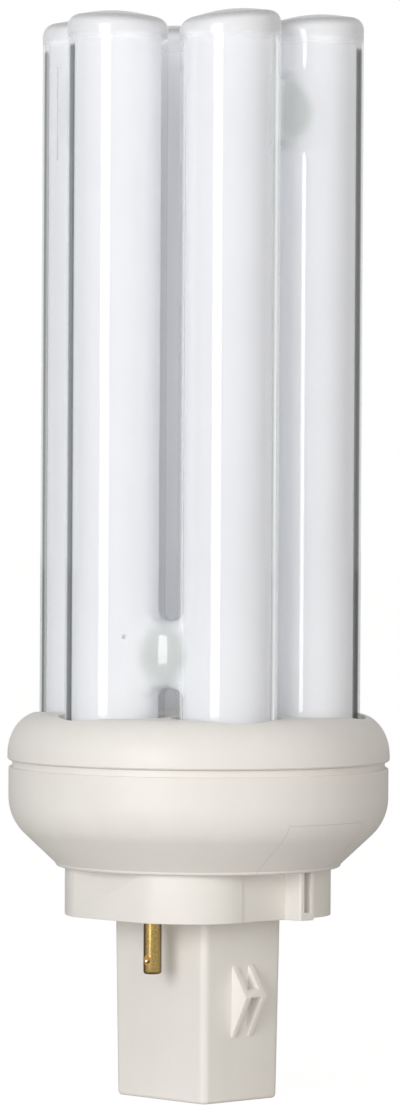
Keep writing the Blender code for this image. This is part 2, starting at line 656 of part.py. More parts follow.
def make_starter():
    """The glow starter: a little glass bottle standing in the post."""
    low = component_floor_z()
    high = low + STARTER_HEIGHT
    rounding = (STARTER_ROUND, STARTER_ROUND)
    core = STARTER_RADIUS - STARTER_ROUND
    profile = [
        (0.0, starter_top_z()), (STARTER_NECK_RADIUS, starter_top_z()), (STARTER_NECK_RADIUS, high),
        *arc((core, high - STARTER_ROUND), rounding, 80.0, 0.0),
        *arc((core, low + STARTER_ROUND), rounding, 0.0, -90.0), (0.0, low),
    ]
    return place(turned("starter_bulb", profile, SMALL_SEGMENTS, parts), (starter_x(), 0.0, 0.0))


def make_capacitor():
    """The dipped film capacitor that is wired across the starter."""
    bm = bmesh.new()
    bmesh.ops.create_cube(bm, size=1.0)
    bmesh.ops.scale(bm, vec=(CAPACITOR_THICKNESS, CAPACITOR_WIDTH, CAPACITOR_HEIGHT), verts=bm.verts)
    bevel(bm, bm.edges[:], CAPACITOR_EDGE, 2)
    capacitor = from_bmesh("starter_capacitor", bm, parts)
    return place(capacitor, (capacitor_x(), 0.0, component_floor_z() + CAPACITOR_HEIGHT / 2.0))


def smooth_route(points, spacing):
    """Points along a smooth curve through the given ones, about one spacing apart."""
    ends = [points[0] * 2.0 - points[1], *points, points[-1] * 2.0 - points[-2]]
    route = []
    for before, start, end, after in zip(ends, ends[1:], ends[2:], ends[3:]):
        count = max(1, round((end - start).length / spacing))
        for step in range(count):
            t = step / count
            pull = (end - before) * t + (before * 2.0 - start * 5.0 + end * 4.0 - after) * t**2
            pull += (start * 3.0 - before - end * 3.0 + after) * t**3
            route.append(start + pull / 2.0)
    return route + [points[-1]]


def make_wire(name, points):
    route = smooth_route(points, WIRE_RADIUS * 4.0)
    curve = bpy.data.curves.new(name, "CURVE")
    curve.dimensions = "3D"
    curve.bevel_depth = WIRE_RADIUS
    curve.bevel_resolution = 2
    curve.use_fill_caps = True
    spline = curve.splines.new("POLY")
    spline.points.add(len(route) - 1)
    for point, position in zip(spline.points, route):
        point.co = (*position, 1.0)
    return link(bpy.data.objects.new(name, curve), parts)


def electrode_lead(leg, side, height):
    """Where a lead wire leaves the pinch of an electrode's leg: side 1 is the pins' side."""
    outward = leg_direction(leg)
    along = Vector((-outward.y, outward.x, 0.0))
    toward_pins = along if along.y * outward.y > 0.0 else -along
    spot = leg_place(leg) + toward_pins * ELECTRODE_LEAD_OFFSET * side
    return Vector((spot.x, spot.y, height))


def make_tube_ring(name, inner, wall, length, segments, location):
    """A short sleeve standing on a point."""
    profile = [(inner + wall, length), (inner + wall, 0.0), (inner, 0.0), (inner, length)]
    return place(turned(name, profile, segments, parts, closed=True), location)


def raised(point, height):
    return point + Vector((0.0, 0.0, height))


def level(point, height):
    return Vector((point.x, point.y, height))


def make_feed_wire(number, leg, pin):
    """From the pinch to the contact pin, through a fibre sleeve that stands on the pin."""
    start = electrode_lead(leg, 1.0, PINCH_END_Z - SEAT_GAP)
    pin_top = level(pin, pin_top_z() + SEAT_GAP)
    sleeve_top = raised(pin_top, SLEEVE_LENGTH + SEAT_GAP)
    above = raised(sleeve_top, WIRE_BEND)
    over = level(start.lerp(above, WIRE_DIP_SHARE), start.z - WIRE_BEND)
    make_wire(f"feed_wire_{number}", [start, over, above, sleeve_top, pin_top])
    make_tube_ring(f"wire_sleeve_{number}", WIRE_RADIUS + CEMENT_GAP, SLEEVE_WALL, SLEEVE_LENGTH,
                   SMALL_SEGMENTS // 2, pin_top)


def make_starter_branch(number, leg, side):
    """Starter and capacitor are in parallel: their wires meet in a crimped sleeve."""
    offset = WIRE_RADIUS + SEAT_GAP / 2.0
    splice_low = starter_top_z() + SPLICE_ABOVE_STARTER
    splice_high = splice_low + SPLICE_LENGTH
    lead = Vector((starter_x(), STARTER_LEAD_OFFSET * side, starter_top_z() + SEAT_GAP))
    start = electrode_lead(leg, -1.0, PINCH_END_Z - SEAT_GAP)
    dip = level(start.lerp(lead, WIRE_DIP_SHARE / 2.0), start.z - WIRE_BEND * 2.0)
    over = level(start.lerp(lead, 1.0 - WIRE_DIP_SHARE / 2.0), splice_high + WIRE_BEND * 2.0)
    entry = level(lead, splice_high + WIRE_BEND / 2.0)
    make_wire(f"starter_wire_{number}", [start, dip, over, entry, level(lead, splice_low), lead])

    capacitor_end = Vector((capacitor_x(), CAPACITOR_LEAD_OFFSET * side, capacitor_top_z() + SEAT_GAP))
    joint = Vector((lead.x + 2.0 * offset, lead.y, 0.0))
    rise = level(capacitor_end, splice_low - WIRE_BEND * 2.0)
    crossing = level(capacitor_end.lerp(joint, 0.6), splice_low - WIRE_BEND)
    route = [
        capacitor_end, rise, crossing, level(joint, splice_low - WIRE_BEND / 2.0),
        level(joint, splice_low + SPLICE_LENGTH * 0.4), level(joint, splice_low + SPLICE_LENGTH * 0.8),
    ]
    make_wire(f"capacitor_lead_{number}", route)
    make_tube_ring(f"crimp_sleeve_{number}", offset + WIRE_RADIUS + SEAT_GAP / 2.0, SPLICE_WALL,
                   SPLICE_LENGTH, SMALL_SEGMENTS, Vector((lead.x + offset, lead.y, splice_low)))


def make_wiring():
    """One wire of each electrode feeds a contact pin, the other one goes to the starter."""
    for number, (leg, pin) in enumerate(zip(ELECTRODE_LEGS, pin_places()), start=1):
        make_feed_wire(number, leg, pin)
        make_starter_branch(number, leg, math.copysign(1.0, pin.y))


def settle(piece):
    """Turn a finished piece's modifiers into its mesh and shade its round faces smooth."""
    graph = bpy.context.evaluated_depsgraph_get()
    mesh = bpy.data.meshes.new_from_object(piece.evaluated_get(graph))
    bm = bmesh.new()
    bm.from_mesh(mesh)
    bmesh.ops.remove_doubles(bm, verts=bm.verts, dist=WELD_DISTANCE)
    bm.to_mesh(mesh)
    bm.free()
    piece.modifiers.clear()
    piece.data = mesh
    mesh.shade_smooth()
    mesh.set_sharp_from_angle(angle=SHARP_ANGLE)


def finish_for(name):
    """The finish of a piece, found from the first words of its name."""
    finishes = {
        "discharge_tube": glass, "tube_collar": plastic, "cap_body": plastic, "contact_pin": brass,
        "tube_cement": cement, "starter_bulb": starter_glass, "starter_capacitor": resin,
        "wire_sleeve": fibre, "crimp_sleeve": tinned, "feed_wire": tinned, "starter_wire": tinned,
        "capacitor_lead": tinned,
    }
    return next(finish for start, finish in finishes.items() if name.startswith(start))


for leftover in list(bpy.data.objects):
    bpy.data.objects.remove(leftover)

parts = make_collection("two_pin_compact_fluorescent_lamp")
cutters = make_collection("cutters")

glass = make_material("coated_glass", (0.80, 0.81, 0.82), 0.12, coat=0.5)
plastic = make_material("cream_plastic", (0.78, 0.75, 0.69), 0.42)
brass = make_material("brass", (0.72, 0.52, 0.20), 0.28, metallic=1.0)
cement = make_material("white_cement", (0.72, 0.71, 0.68), 0.80)
starter_glass = make_material("starter_glass", (0.62, 0.66, 0.66), 0.10)
resin = make_material("capacitor_resin", (0.55, 0.16, 0.08), 0.35)
fibre = make_material("sleeve_fibre", (0.80, 0.79, 0.74), 0.75)
tinned = make_material("tinned_wire", (0.66, 0.66, 0.66), 0.30, metallic=1.0)

make_discharge_tube()
make_collar()
make_cap()
make_contact_pins()
make_cement()
make_starter()
make_capacitor()
make_wiring()

bpy.context.view_layer.update()
for made_piece in list(parts.objects):
    if made_piece.type == "MESH":
        settle(made_piece)
    made_piece.data.materials.clear()
    made_piece.data.materials.append(finish_for(made_piece.name))
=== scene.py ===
# %% [markdown]
# # A two pin compact fluorescent lamp
#
# This lesson dresses a small plug-in lamp: six fused glass legs in a ring, a domed collar that
# holds them, and a moulded cap with a post, two brass pins, key ribs and catch teeth.
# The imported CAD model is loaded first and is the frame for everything. Each new piece is
# modelled where its solid is, and then stands for that solid, so nothing has to be fitted.
# Lengths are in metres, and Z is up.

# %% Load the frame
import math

import bmesh
import bpy
from mathutils import Matrix, Vector


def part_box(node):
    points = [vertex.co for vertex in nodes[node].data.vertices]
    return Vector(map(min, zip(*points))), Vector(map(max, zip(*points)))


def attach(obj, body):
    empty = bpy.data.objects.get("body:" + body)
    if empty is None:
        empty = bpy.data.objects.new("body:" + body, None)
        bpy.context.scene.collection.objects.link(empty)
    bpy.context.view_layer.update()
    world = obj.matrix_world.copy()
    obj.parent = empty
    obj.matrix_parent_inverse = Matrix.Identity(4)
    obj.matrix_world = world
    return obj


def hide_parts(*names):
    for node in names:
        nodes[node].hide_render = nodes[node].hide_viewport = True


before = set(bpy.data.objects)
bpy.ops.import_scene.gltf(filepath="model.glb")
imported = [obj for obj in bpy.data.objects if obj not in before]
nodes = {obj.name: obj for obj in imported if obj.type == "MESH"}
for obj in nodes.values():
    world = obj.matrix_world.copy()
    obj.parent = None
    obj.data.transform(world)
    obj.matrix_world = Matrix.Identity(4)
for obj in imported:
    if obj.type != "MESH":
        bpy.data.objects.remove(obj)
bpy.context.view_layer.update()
print("nodes loaded:", len(nodes))

# %% [markdown]
# ## The camera
#
# The photograph was taken from well back with a long lens, so the upright edges hardly
# converge. The lens and the distance come from how wide the near and the far legs look. The
# camera stands a little below the middle of the glass, and is rolled a third of a degree.

# %% Camera
CAMERA_AZIMUTH = math.radians(46.3)
CAMERA_DISTANCE = 0.750
CAMERA_HEIGHT = 0.0840
AIM_HEIGHT = 0.06885
AIM_RIGHT = 0.00004
CAMERA_ROLL = math.radians(0.32)
LENS = 189.8
CLIP_NEAR = 0.01
CLIP_FAR = 20.0


def level_direction(azimuth):
    """The level direction from the object to a viewer at this azimuth."""
    return Vector((math.sin(azimuth), -math.cos(azimuth), 0.0))


toward_camera = level_direction(CAMERA_AZIMUTH)
camera_right = level_direction(CAMERA_AZIMUTH + math.pi / 2.0)


def make_camera():
    camera = bpy.data.objects.new("camera", bpy.data.cameras.new("camera"))
    bpy.context.scene.collection.objects.link(camera)
    camera.data.lens = LENS
    camera.data.clip_start = CLIP_NEAR
    camera.data.clip_end = CLIP_FAR
    camera.location = toward_camera * CAMERA_DISTANCE + Vector((0.0, 0.0, CAMERA_HEIGHT))
    aim = camera_right * AIM_RIGHT + Vector((0.0, 0.0, AIM_HEIGHT))
    turn = (aim - camera.location).to_track_quat("-Z", "Y").to_matrix()
    roll = Matrix.Rotation(CAMERA_ROLL, 3, "Z")
    camera.rotation_euler = (turn @ roll).to_euler()
    return camera


bpy.context.scene.camera = make_camera()
bpy.context.scene.view_settings.view_transform = "Standard"
print("camera at", tuple(round(value, 4) for value in bpy.context.scene.camera.location))

# %% [markdown]
# ## Nodes as arithmetic
#
# A finish is a small calculation: a pattern, a mask, a blend. Written node by node it is hard
# to read, so a thin class wraps a socket and turns + - * into Math nodes. `Finish.node` adds
# any other node, and `Finish.blend` mixes two colours.


# %% Sockets that can be calculated with
class Signal:
    """A socket whose value can be used in plain arithmetic."""

    def __init__(self, finish, socket):
        self.finish = finish
        self.socket = socket

    def math(self, operation, first, second=0.0):
        return self.finish.node("ShaderNodeMath", {"operation": operation}, {0: first, 1: second})

    def __add__(self, other):
        return self.math("ADD", self, other)

    def __radd__(self, other):
        return self.math("ADD", other, self)

    def __sub__(self, other):
        return self.math("SUBTRACT", self, other)

    def __rsub__(self, other):
        return self.math("SUBTRACT", other, self)

    def __mul__(self, other):
        return self.math("MULTIPLY", self, other)

    def __rmul__(self, other):
        return self.math("MULTIPLY", other, self)

    def __abs__(self):
        return self.math("ABSOLUTE", self)

    def least(self, other):
        return self.math("MINIMUM", self, other)

    def most(self, other):
        return self.math("MAXIMUM", self, other)

    def power(self, exponent):
        return self.math("POWER", self, exponent)

    def ramp(self, start, end, low=0.0, high=1.0):
        """A smooth step from low to high while the value goes from start to end."""
        return self.finish.node(
            "ShaderNodeMapRange", {"interpolation_type": "SMOOTHSTEP"},
            {"Value": self, "From Min": start, "From Max": end, "To Min": low, "To Max": high})


class Finish:
    """The nodes of one material or of the world."""

    def __init__(self, owner):
        self.owner = owner
        owner.use_nodes = True
        self.tree = owner.node_tree
        self.tree.nodes.clear()

    def node(self, kind, settings=None, values=None, output=0):
        made = self.tree.nodes.new(kind)
        for name, value in (settings or {}).items():
            setattr(made, name, value)
        for name, value in (values or {}).items():
            socket = made.inputs[name]
            if isinstance(value, Signal):
                self.tree.links.new(value.socket, socket)
            else:
                socket.default_value = value
        return Signal(self, made.outputs[output]) if len(made.outputs) else made

    def blend(self, factor, first, second):
        """A colour between first, at factor 0, and second, at factor 1."""
        start, end = (value if isinstance(value, Signal) else (*value, 1.0) for value in (first, second))
        return self.node("ShaderNodeMix", {"data_type": "RGBA"}, {0: factor, 6: start, 7: end}, output=2)

    def point(self):
        """The place on the object, in metres."""
        return self.node("ShaderNodeTexCoord", output="Object")

    def vector(self, operation, first, second=(0.0, 0.0, 0.0), output=0):
        values = {0: first, 1: second}
        return self.node("ShaderNodeVectorMath", {"operation": operation}, values, output)

    def parts(self, vector):
        outputs = self.node("ShaderNodeSeparateXYZ", values={0: vector}).socket.node.outputs
        return [Signal(self, output) for output in outputs]

    def ray(self, kind):
        """1 for a ray of this kind, such as Camera or Glossy, and 0 for others."""
        return self.node("ShaderNodeLightPath", output=f"Is {kind} Ray")

    def facing(self):
        """0 where a surface faces the viewer and 1 where it is seen edge on."""
        return self.node("ShaderNodeLayerWeight", values={"Blend": 0.5}, output="Facing")

    def noise(self, scale, detail):
        values = {"Vector": self.point(), "Scale": scale, "Detail": detail}
        return self.node("ShaderNodeTexNoise", values=values)

    def streaks(self, scales, detail):
        """Noise with its own scale along each axis."""
        drawn_out = self.vector("MULTIPLY", self.point(), scales)
        values = {"Vector": drawn_out, "Scale": 1.0, "Detail": detail}
        return self.node("ShaderNodeTexNoise", values=values)

    def bump(self, height, distance, strength):
        values = {"Height": height, "Distance": distance, "Strength": strength}
        return self.node("ShaderNodeBump", values=values)

    def principled(self, values):
        return self.node("ShaderNodeBsdfPrincipled", values=values)

    def surface(self, shader):
        is_world = isinstance(self.owner, bpy.types.World)
        kind = "ShaderNodeOutputWorld" if is_world else "ShaderNodeOutputMaterial"
        self.node(kind, values={"Surface": shader})
        return self.owner


def new_finish(name):
    return Finish(bpy.data.materials.new(name))


# %% [markdown]
# ## Light
#
# The photograph shows one tall strip light to the left of the camera: it draws a sharp white
# line down each leg. Everything else is soft, a little brighter and cooler on the left than on
# the right. So there is one area lamp, and a world with an even level and one broad glow to the
# right of the camera. Mirror rays see another world, white behind the object and dark at its
# sides, as in a studio, and the camera sees plain white.

# %% Light
STRIP_AZIMUTH = CAMERA_AZIMUTH - math.radians(30.5)
STRIP_DISTANCE = 0.70
STRIP_WIDTH = 0.289
STRIP_HEIGHT = 0.36
STRIP_RADIANCE = 6.9
AMBIENT_LEVEL = 0.34
FILL_AZIMUTH = CAMERA_AZIMUTH + math.radians(22.5)
FILL_LEVEL = 2.75
FILL_POWER = 6.0
AMBIENT_LEFT = (1.01, 1.02, 1.03)
AMBIENT_RIGHT = (0.76, 0.73, 0.69)
MIRROR_DARK = 0.12
MIRROR_FRONT_GAIN = 0.4
MIRROR_FRONT = (0.1, 0.9)
MIRROR_BACK = (-0.25, -0.6)


def make_strip_light():
    light = bpy.data.lights.new("strip_light", "AREA")
    light.shape = "RECTANGLE"
    light.size = STRIP_WIDTH
    light.size_y = STRIP_HEIGHT
    light.energy = STRIP_RADIANCE * math.pi * STRIP_WIDTH * STRIP_HEIGHT
    strip = bpy.data.objects.new("strip_light", light)
    bpy.context.scene.collection.objects.link(strip)
    outward = level_direction(STRIP_AZIMUTH)
    strip.location = outward * STRIP_DISTANCE + Vector((0.0, 0.0, STRIP_HEIGHT / 2.0))
    strip.rotation_euler = outward.to_track_quat("Z", "Y").to_euler()
    strip.visible_camera = False


def make_world():
    world = bpy.data.worlds.new("studio")
    bpy.context.scene.world = world
    sky = Finish(world)
    direction = sky.node("ShaderNodeTexCoord", output="Generated")

    def toward(axis):
        return sky.vector("DOT_PRODUCT", direction, tuple(axis), output="Value")

    front = toward(toward_camera)
    fill = toward(level_direction(FILL_AZIMUTH)).most(0.0).power(FILL_POWER)
    ambient = sky.node("ShaderNodeBackground", values={
        "Color": sky.blend(toward(camera_right).ramp(-1.0, 1.0), AMBIENT_LEFT, AMBIENT_RIGHT),
        "Strength": AMBIENT_LEVEL + FILL_LEVEL * fill})
    mirrored_front = MIRROR_DARK + MIRROR_FRONT_GAIN * front.ramp(*MIRROR_FRONT)
    mirrored_level = mirrored_front.most(front.ramp(*MIRROR_BACK))
    mirrored = sky.node("ShaderNodeBackground", values={"Strength": mirrored_level})
    white = sky.node("ShaderNodeBackground", values={"Color": (1.0, 1.0, 1.0, 1.0)})
    lit = sky.node("ShaderNodeMixShader", values={0: sky.ray("Glossy"), 1: ambient, 2: mirrored})
    seen = sky.ray("Camera").most(sky.ray("Transmission"))
    sky.surface(sky.node("ShaderNodeMixShader", values={0: seen, 1: lit, 2: white}))


make_strip_light()
make_world()

# %% [markdown]
# ## The floor
#
# The lamp stands on the end of its post on a plain white floor. The camera sees the floor as
# nearly pure white, with a faint shadow. All other rays see white paint.

# %% Floor
FLOOR_HALF_SIZE = 3.0
FLOOR_PAINT = (0.83, 0.82, 0.80, 1.0)
FLOOR_WHITE_LEVEL = 1.09
FLOOR_SEEN_WHITE = 0.88


def make_floor():
    bm = bmesh.new()
    bmesh.ops.create_grid(bm, x_segments=1, y_segments=1, size=FLOOR_HALF_SIZE)
    mesh = bpy.data.meshes.new("floor")
    bm.to_mesh(mesh)
    bm.free()
    floor = bpy.data.objects.new("floor", mesh)
    bpy.context.scene.collection.objects.link(floor)
    paint = new_finish("floor_paint")
    diffuse = paint.node("ShaderNodeBsdfDiffuse", values={"Color": FLOOR_PAINT})
    white = paint.node("ShaderNodeEmission", values={"Strength": FLOOR_WHITE_LEVEL})
    seen = paint.ray("Camera") * FLOOR_SEEN_WHITE
    mixed = paint.node("ShaderNodeMixShader", values={0: seen, 1: diffuse, 2: white})
    mesh.materials.append(paint.surface(mixed))


make_floor()

# %% [markdown]
# ## Tools for modelling
#
# Round pieces are spun from a profile, straight ones are extruded from an outline, and pieces
# that were moulded or fused as one are joined and cut with exact Booleans. `combine` bakes
# these steps into one mesh, and `finished` cleans, shades and dresses it.

# %% Modelling tools
SAME_POINT = 1e-7
WELD_DISTANCE = 1e-6


def arc(centre, radii, start_degrees, end_degrees, steps):
    """Points on a circle or an ellipse, both ends included."""
    points = []
    for step in range(steps + 1):
        angle = math.radians(start_degrees + (end_degrees - start_degrees) * step / steps)
        across = centre[0] + radii[0] * math.cos(angle)
        points.append((across, centre[1] + radii[1] * math.sin(angle)))
    return points


def spun(profile, segments):
    """A profile of (radius, height) points turned once round Z."""
    bm = bmesh.new()
    verts = [bm.verts.new((radius, 0.0, height)) for radius, height in profile]
    edges = [bm.edges.new(pair) for pair in zip(verts, verts[1:])]
    bmesh.ops.spin(bm, geom=verts + edges, cent=(0.0, 0.0, 0.0), axis=(0.0, 0.0, 1.0),
                   dvec=(0.0, 0.0, 0.0), angle=2.0 * math.pi, steps=segments, use_merge=True,
                   use_duplicate=False)
    bmesh.ops.remove_doubles(bm, verts=bm.verts, dist=SAME_POINT)
    bmesh.ops.recalc_face_normals(bm, faces=bm.faces)
    return bm


def extruded(outline, low, high):
    """A flat outline in X and Y made thick along Z."""
    bm = bmesh.new()
    face = bm.faces.new([bm.verts.new((x, y, low)) for x, y in outline])
    grown = bmesh.ops.extrude_face_region(bm, geom=[face])["geom"]
    top = [item for item in grown if isinstance(item, bmesh.types.BMVert)]
    bmesh.ops.translate(bm, vec=(0.0, 0.0, high - low), verts=top)
    bmesh.ops.recalc_face_normals(bm, faces=bm.faces)
    return bm


def block(size, centre):
    bm = bmesh.new()
    bmesh.ops.create_cube(bm, size=1.0)
    bmesh.ops.scale(bm, vec=size, verts=bm.verts)
    bmesh.ops.translate(bm, vec=centre, verts=bm.verts)
    return bm


def rounded(bm, edges, width, segments):
    bmesh.ops.bevel(bm, geom=edges, offset=width, segments=segments, profile=0.5, affect="EDGES",
                    material=-1, clamp_overlap=True)
    return bm


def moved(bm, location=(0.0, 0.0, 0.0), turn=0.0):
    bmesh.ops.rotate(bm, cent=(0.0, 0.0, 0.0), matrix=Matrix.Rotation(turn, 3, "Z"), verts=bm.verts)
    bmesh.ops.translate(bm, vec=location, verts=bm.verts)
    return bm


def as_object(name, bm):
    mesh = bpy.data.meshes.new(name)
    bm.to_mesh(mesh)
    bm.free()
    made = bpy.data.objects.new(name, mesh)
    bpy.context.scene.collection.objects.link(made)
    return made


def combine(piece, steps):
    """Join or cut a piece with others, in order: each step is an operation and a bmesh."""
    others = []
    for count, (operation, bm) in enumerate(steps):
        other = as_object(f"step_{count}", bm)
        modifier = piece.modifiers.new(other.name, "BOOLEAN")
        modifier.operation = operation
        modifier.solver = "EXACT"
        modifier.object = other
        others.append(other)
    bake(piece)
    for other in others:
        bpy.data.objects.remove(other)
    return piece


def bake(piece):
    """Turn the piece's modifiers into its mesh."""
    graph = bpy.context.evaluated_depsgraph_get()
    mesh = bpy.data.meshes.new_from_object(piece.evaluated_get(graph))
    piece.modifiers.clear()
    piece.data = mesh


def finished(piece, material, replaced, sharp_degrees):
    """Clean, shade and dress a piece, and let it stand for its CAD nodes."""
    bm = bmesh.new()
    bm.from_mesh(piece.data)
    bmesh.ops.remove_doubles(bm, verts=bm.verts, dist=WELD_DISTANCE)
    bm.to_mesh(piece.data)
    bm.free()
    piece.data.name = piece.name
    piece.data.shade_smooth()
    piece.data.set_sharp_from_angle(angle=math.radians(sharp_degrees))
    piece.data.materials.clear()
    piece.data.materials.append(material)
    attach(piece, "root")
    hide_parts(*replaced)
    low, high = piece_box(piece)
    print(piece.name, "faces", len(piece.data.polygons), "box mm",
          [round(value * 1000.0, 2) for value in (*low, *high)])
    return piece


def piece_box(piece):
    corners = [vert.co for vert in piece.data.vertices]
    low = Vector([min(corner[axis] for corner in corners) for axis in range(3)])
    high = Vector([max(corner[axis] for corner in corners) for axis in range(3)])
    return low, high


# %% [markdown]
# ## The glass
#
# Each leg is a clear tube with a white powder coating on its inner wall. Seen from outside the
# coating looks like a solid white core with a sharp edge, and the clear wall shows as a narrow
# band on each side of it. So the glass is two pieces: a closed clear envelope, and the coating
# inside it. Both are legs and necks joined with Booleans. A neck is spun, flattened in front
# and waisted, and its ends are pushed onto the round sides of the two legs, where a small
# fillet runs into them.

# %% Glass sizes
LEG_COUNT = 6
LEG_RADIUS = 0.00635
LEG_PITCH = 0.0147
TUBE_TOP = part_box("discharge_tube")[1].z
COLLAR_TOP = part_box("tube_collar")[1].z
LEG_END = COLLAR_TOP - 0.0074
SHOULDER_RADIUS = 0.0017
CROWN_HEIGHT = 0.0006
SHOULDER_ARC = 84.0
COATING_SHARE = 0.865
TIP_WALL = 0.0001
LEG_END_WALL = 0.0006
NECK_RADIUS = 0.0044
NECK_WALL = 0.0003
NECK_DEPTH_SHARE = 0.74
NECK_SQUARENESS = 3.6
NECK_WAIST_CURVE = 190.0
NECK_FILLET = 0.0007
NECK_SINK = 0.00006
NECK_SEGMENTS = 64
NECK_RING_OFFSET = 0.006
TOP_NECK_Z = TUBE_TOP - 0.0124
BOTTOM_NECK_Z = COLLAR_TOP + 0.0079
TOP_PAIRS = ((1, 2), (0, 5), (3, 4))
BOTTOM_PAIRS = ((0, 1), (2, 3))
ELECTRODE_LEGS = (5, 4)
PINCH_HALF_WIDTH = 0.0042
PINCH_HALF_THICKNESS = 0.0014
PINCH_TAPER = 0.0055
PINCH_LENGTH = 0.0026
PINCH_SINK = 0.0023
PINCH_START_INSET = 0.0011
TIP_HEIGHT = 0.003
# How far each leg's tip is lifted, and how much it rises towards the camera's right.
TIP_SHAPES = ((-0.0001, -0.04), (-0.0001, 0.10), (-0.00005, 0.06), (0.0, 0.0), (-0.00025, 0.0),
              (-0.0002, 0.0))
GLASS_SEGMENTS = 96
GLASS_SHARP_DEGREES = 40.0


def leg_place(number):
    return level_direction(number * 2.0 * math.pi / LEG_COUNT) * LEG_PITCH


neck_places = []
for neck_z, pairs in ((TOP_NECK_Z, TOP_PAIRS), (BOTTOM_NECK_Z, BOTTOM_PAIRS)):
    for first, second in pairs:
        middle = (leg_place(first) + leg_place(second)) / 2.0
        neck_places.append((middle + Vector((0.0, 0.0, neck_z)), first, second))


# %% Glass shapes
def leg_profile(radius, top, bottom):
    """A long cylinder whose ends are flat domes with rounded shoulders."""
    shoulder = (SHOULDER_RADIUS, SHOULDER_RADIUS)
    flat = radius - SHOULDER_RADIUS
    crown = [(flat * share, top - CROWN_HEIGHT * share**2) for share in (0.0, 0.25, 0.5, 0.75, 0.9)]
    upper = arc((flat, top - CROWN_HEIGHT - SHOULDER_RADIUS), shoulder, SHOULDER_ARC, 0.0, 10)
    lower = arc((flat, bottom + CROWN_HEIGHT + SHOULDER_RADIUS), shoulder, 0.0, -SHOULDER_ARC, 6)
    rings = [(radius, neck_z + offset) for neck_z in (TOP_NECK_Z, BOTTOM_NECK_Z)
             for offset in (NECK_RING_OFFSET, -NECK_RING_OFFSET)]
    return [*crown, *upper, *rings, *lower, (flat * 0.5, bottom + CROWN_HEIGHT * 0.2), (0.0, bottom)]


def stretched(height, across, reach, leg_radius):
    """A height along a neck, moved so that the neck's ends lie on the round sides of the legs."""
    share = min(1.0, abs(height) / reach)
    sag = leg_radius - math.sqrt(leg_radius**2 - across**2)
    return height + math.copysign(sag * share**2, height)


def neck_profile(waist, reach):
    """A neck's side, from the middle of one end to the middle of the other."""
    fillet = arc((waist + NECK_FILLET, reach - NECK_FILLET), (NECK_FILLET, NECK_FILLET), 90.0, 180.0, 9)
    end = reach + NECK_SINK
    side = [(0.0, end), (waist + NECK_FILLET, end), *fillet]
    return side + [(waist, 0.0)] + [(radius, -height) for radius, height in reversed(side)]


def neck_shape(place, first, second, waist, leg_radius):
    """A waisted neck along the line between two legs, with its ends fitted to their round sides."""
    between = leg_place(second) - leg_place(first)
    reach = between.length / 2.0 - leg_radius
    bm = spun(neck_profile(waist, reach), NECK_SEGMENTS)
    for vert in bm.verts:
        round_radius = vert.co.xy.length
        if round_radius > 0.0:
            across, up = vert.co.xy / round_radius
            squared = abs(across / NECK_DEPTH_SHARE)**NECK_SQUARENESS + abs(up)**NECK_SQUARENESS
            vert.co.xy *= squared**(-1.0 / NECK_SQUARENESS)
            height = stretched(vert.co.z, vert.co.x, reach, leg_radius)
            vert.co.xy *= 1.0 + NECK_WAIST_CURVE * height**2 / round_radius
        vert.co.z = stretched(vert.co.z, vert.co.x, reach, leg_radius)
    along = between.normalized()
    upward = Vector((0.0, 0.0, 1.0))
    axes = Matrix((upward.cross(along), upward, along)).transposed()
    bmesh.ops.transform(bm, matrix=Matrix.Translation(place) @ axes.to_4x4(), verts=bm.verts)
    return bm


def pinch_shape(number, radius):
    """The flattened seal under an electrode's leg: a taper, then a straight end."""
    bm = bmesh.new()
    bmesh.ops.create_circle(bm, cap_ends=True, segments=GLASS_SEGMENTS // 2, radius=radius)
    start = bm.faces[:][0]
    face = start
    flattened = (PINCH_HALF_WIDTH / radius, PINCH_HALF_THICKNESS / radius, 1.0)
    for scale, depth in ((flattened, PINCH_TAPER), ((1.0, 1.0, 1.0), PINCH_LENGTH)):
        grown = bmesh.ops.extrude_face_region(bm, geom=[face])["geom"]
        if face is not start:
            bmesh.ops.delete(bm, geom=[face], context="FACES_ONLY")
        verts = [item for item in grown if isinstance(item, bmesh.types.BMVert)]
        bmesh.ops.scale(bm, vec=scale, verts=verts)
        bmesh.ops.translate(bm, vec=(0.0, 0.0, -depth), verts=verts)
        face = next(item for item in grown if isinstance(item, bmesh.types.BMFace))
    bmesh.ops.recalc_face_normals(bm, faces=bm.faces)
    place = leg_place(number)
    return moved(bm, (place.x, place.y, LEG_END + PINCH_SINK), math.atan2(place.x, -place.y))


def leg_shape(number, profile, top):
    """One leg. Its tip was closed by hand, so it is a little low or slanted."""
    bm = spun(profile, GLASS_SEGMENTS)
    lift, slant = TIP_SHAPES[number]
    for vert in bm.verts:
        if vert.co.z > top - TIP_HEIGHT:
            vert.co.z += lift + slant * vert.co.dot(camera_right)
    return moved(bm, leg_place(number))


def glass_body(name, radius, top, bottom, waist, pinched_legs=()):
    profile = leg_profile(radius, top, bottom)
    legs = [leg_shape(number, profile, top) for number in range(LEG_COUNT)]
    necks = [neck_shape(place, first, second, waist, radius) for place, first, second in neck_places]
    pinches = [pinch_shape(number, radius - PINCH_START_INSET) for number in pinched_legs]
    return combine(as_object(name, legs[0]), [("UNION", bm) for bm in (*legs[1:], *necks, *pinches)])


envelope = glass_body("glass_envelope", LEG_RADIUS, TUBE_TOP, LEG_END, NECK_RADIUS, ELECTRODE_LEGS)
coating = glass_body("phosphor_coating", LEG_RADIUS * COATING_SHARE, TUBE_TOP - TIP_WALL,
                     LEG_END + LEG_END_WALL, NECK_RADIUS - NECK_WALL)
print("glass faces", len(envelope.data.polygons), len(coating.data.polygons))

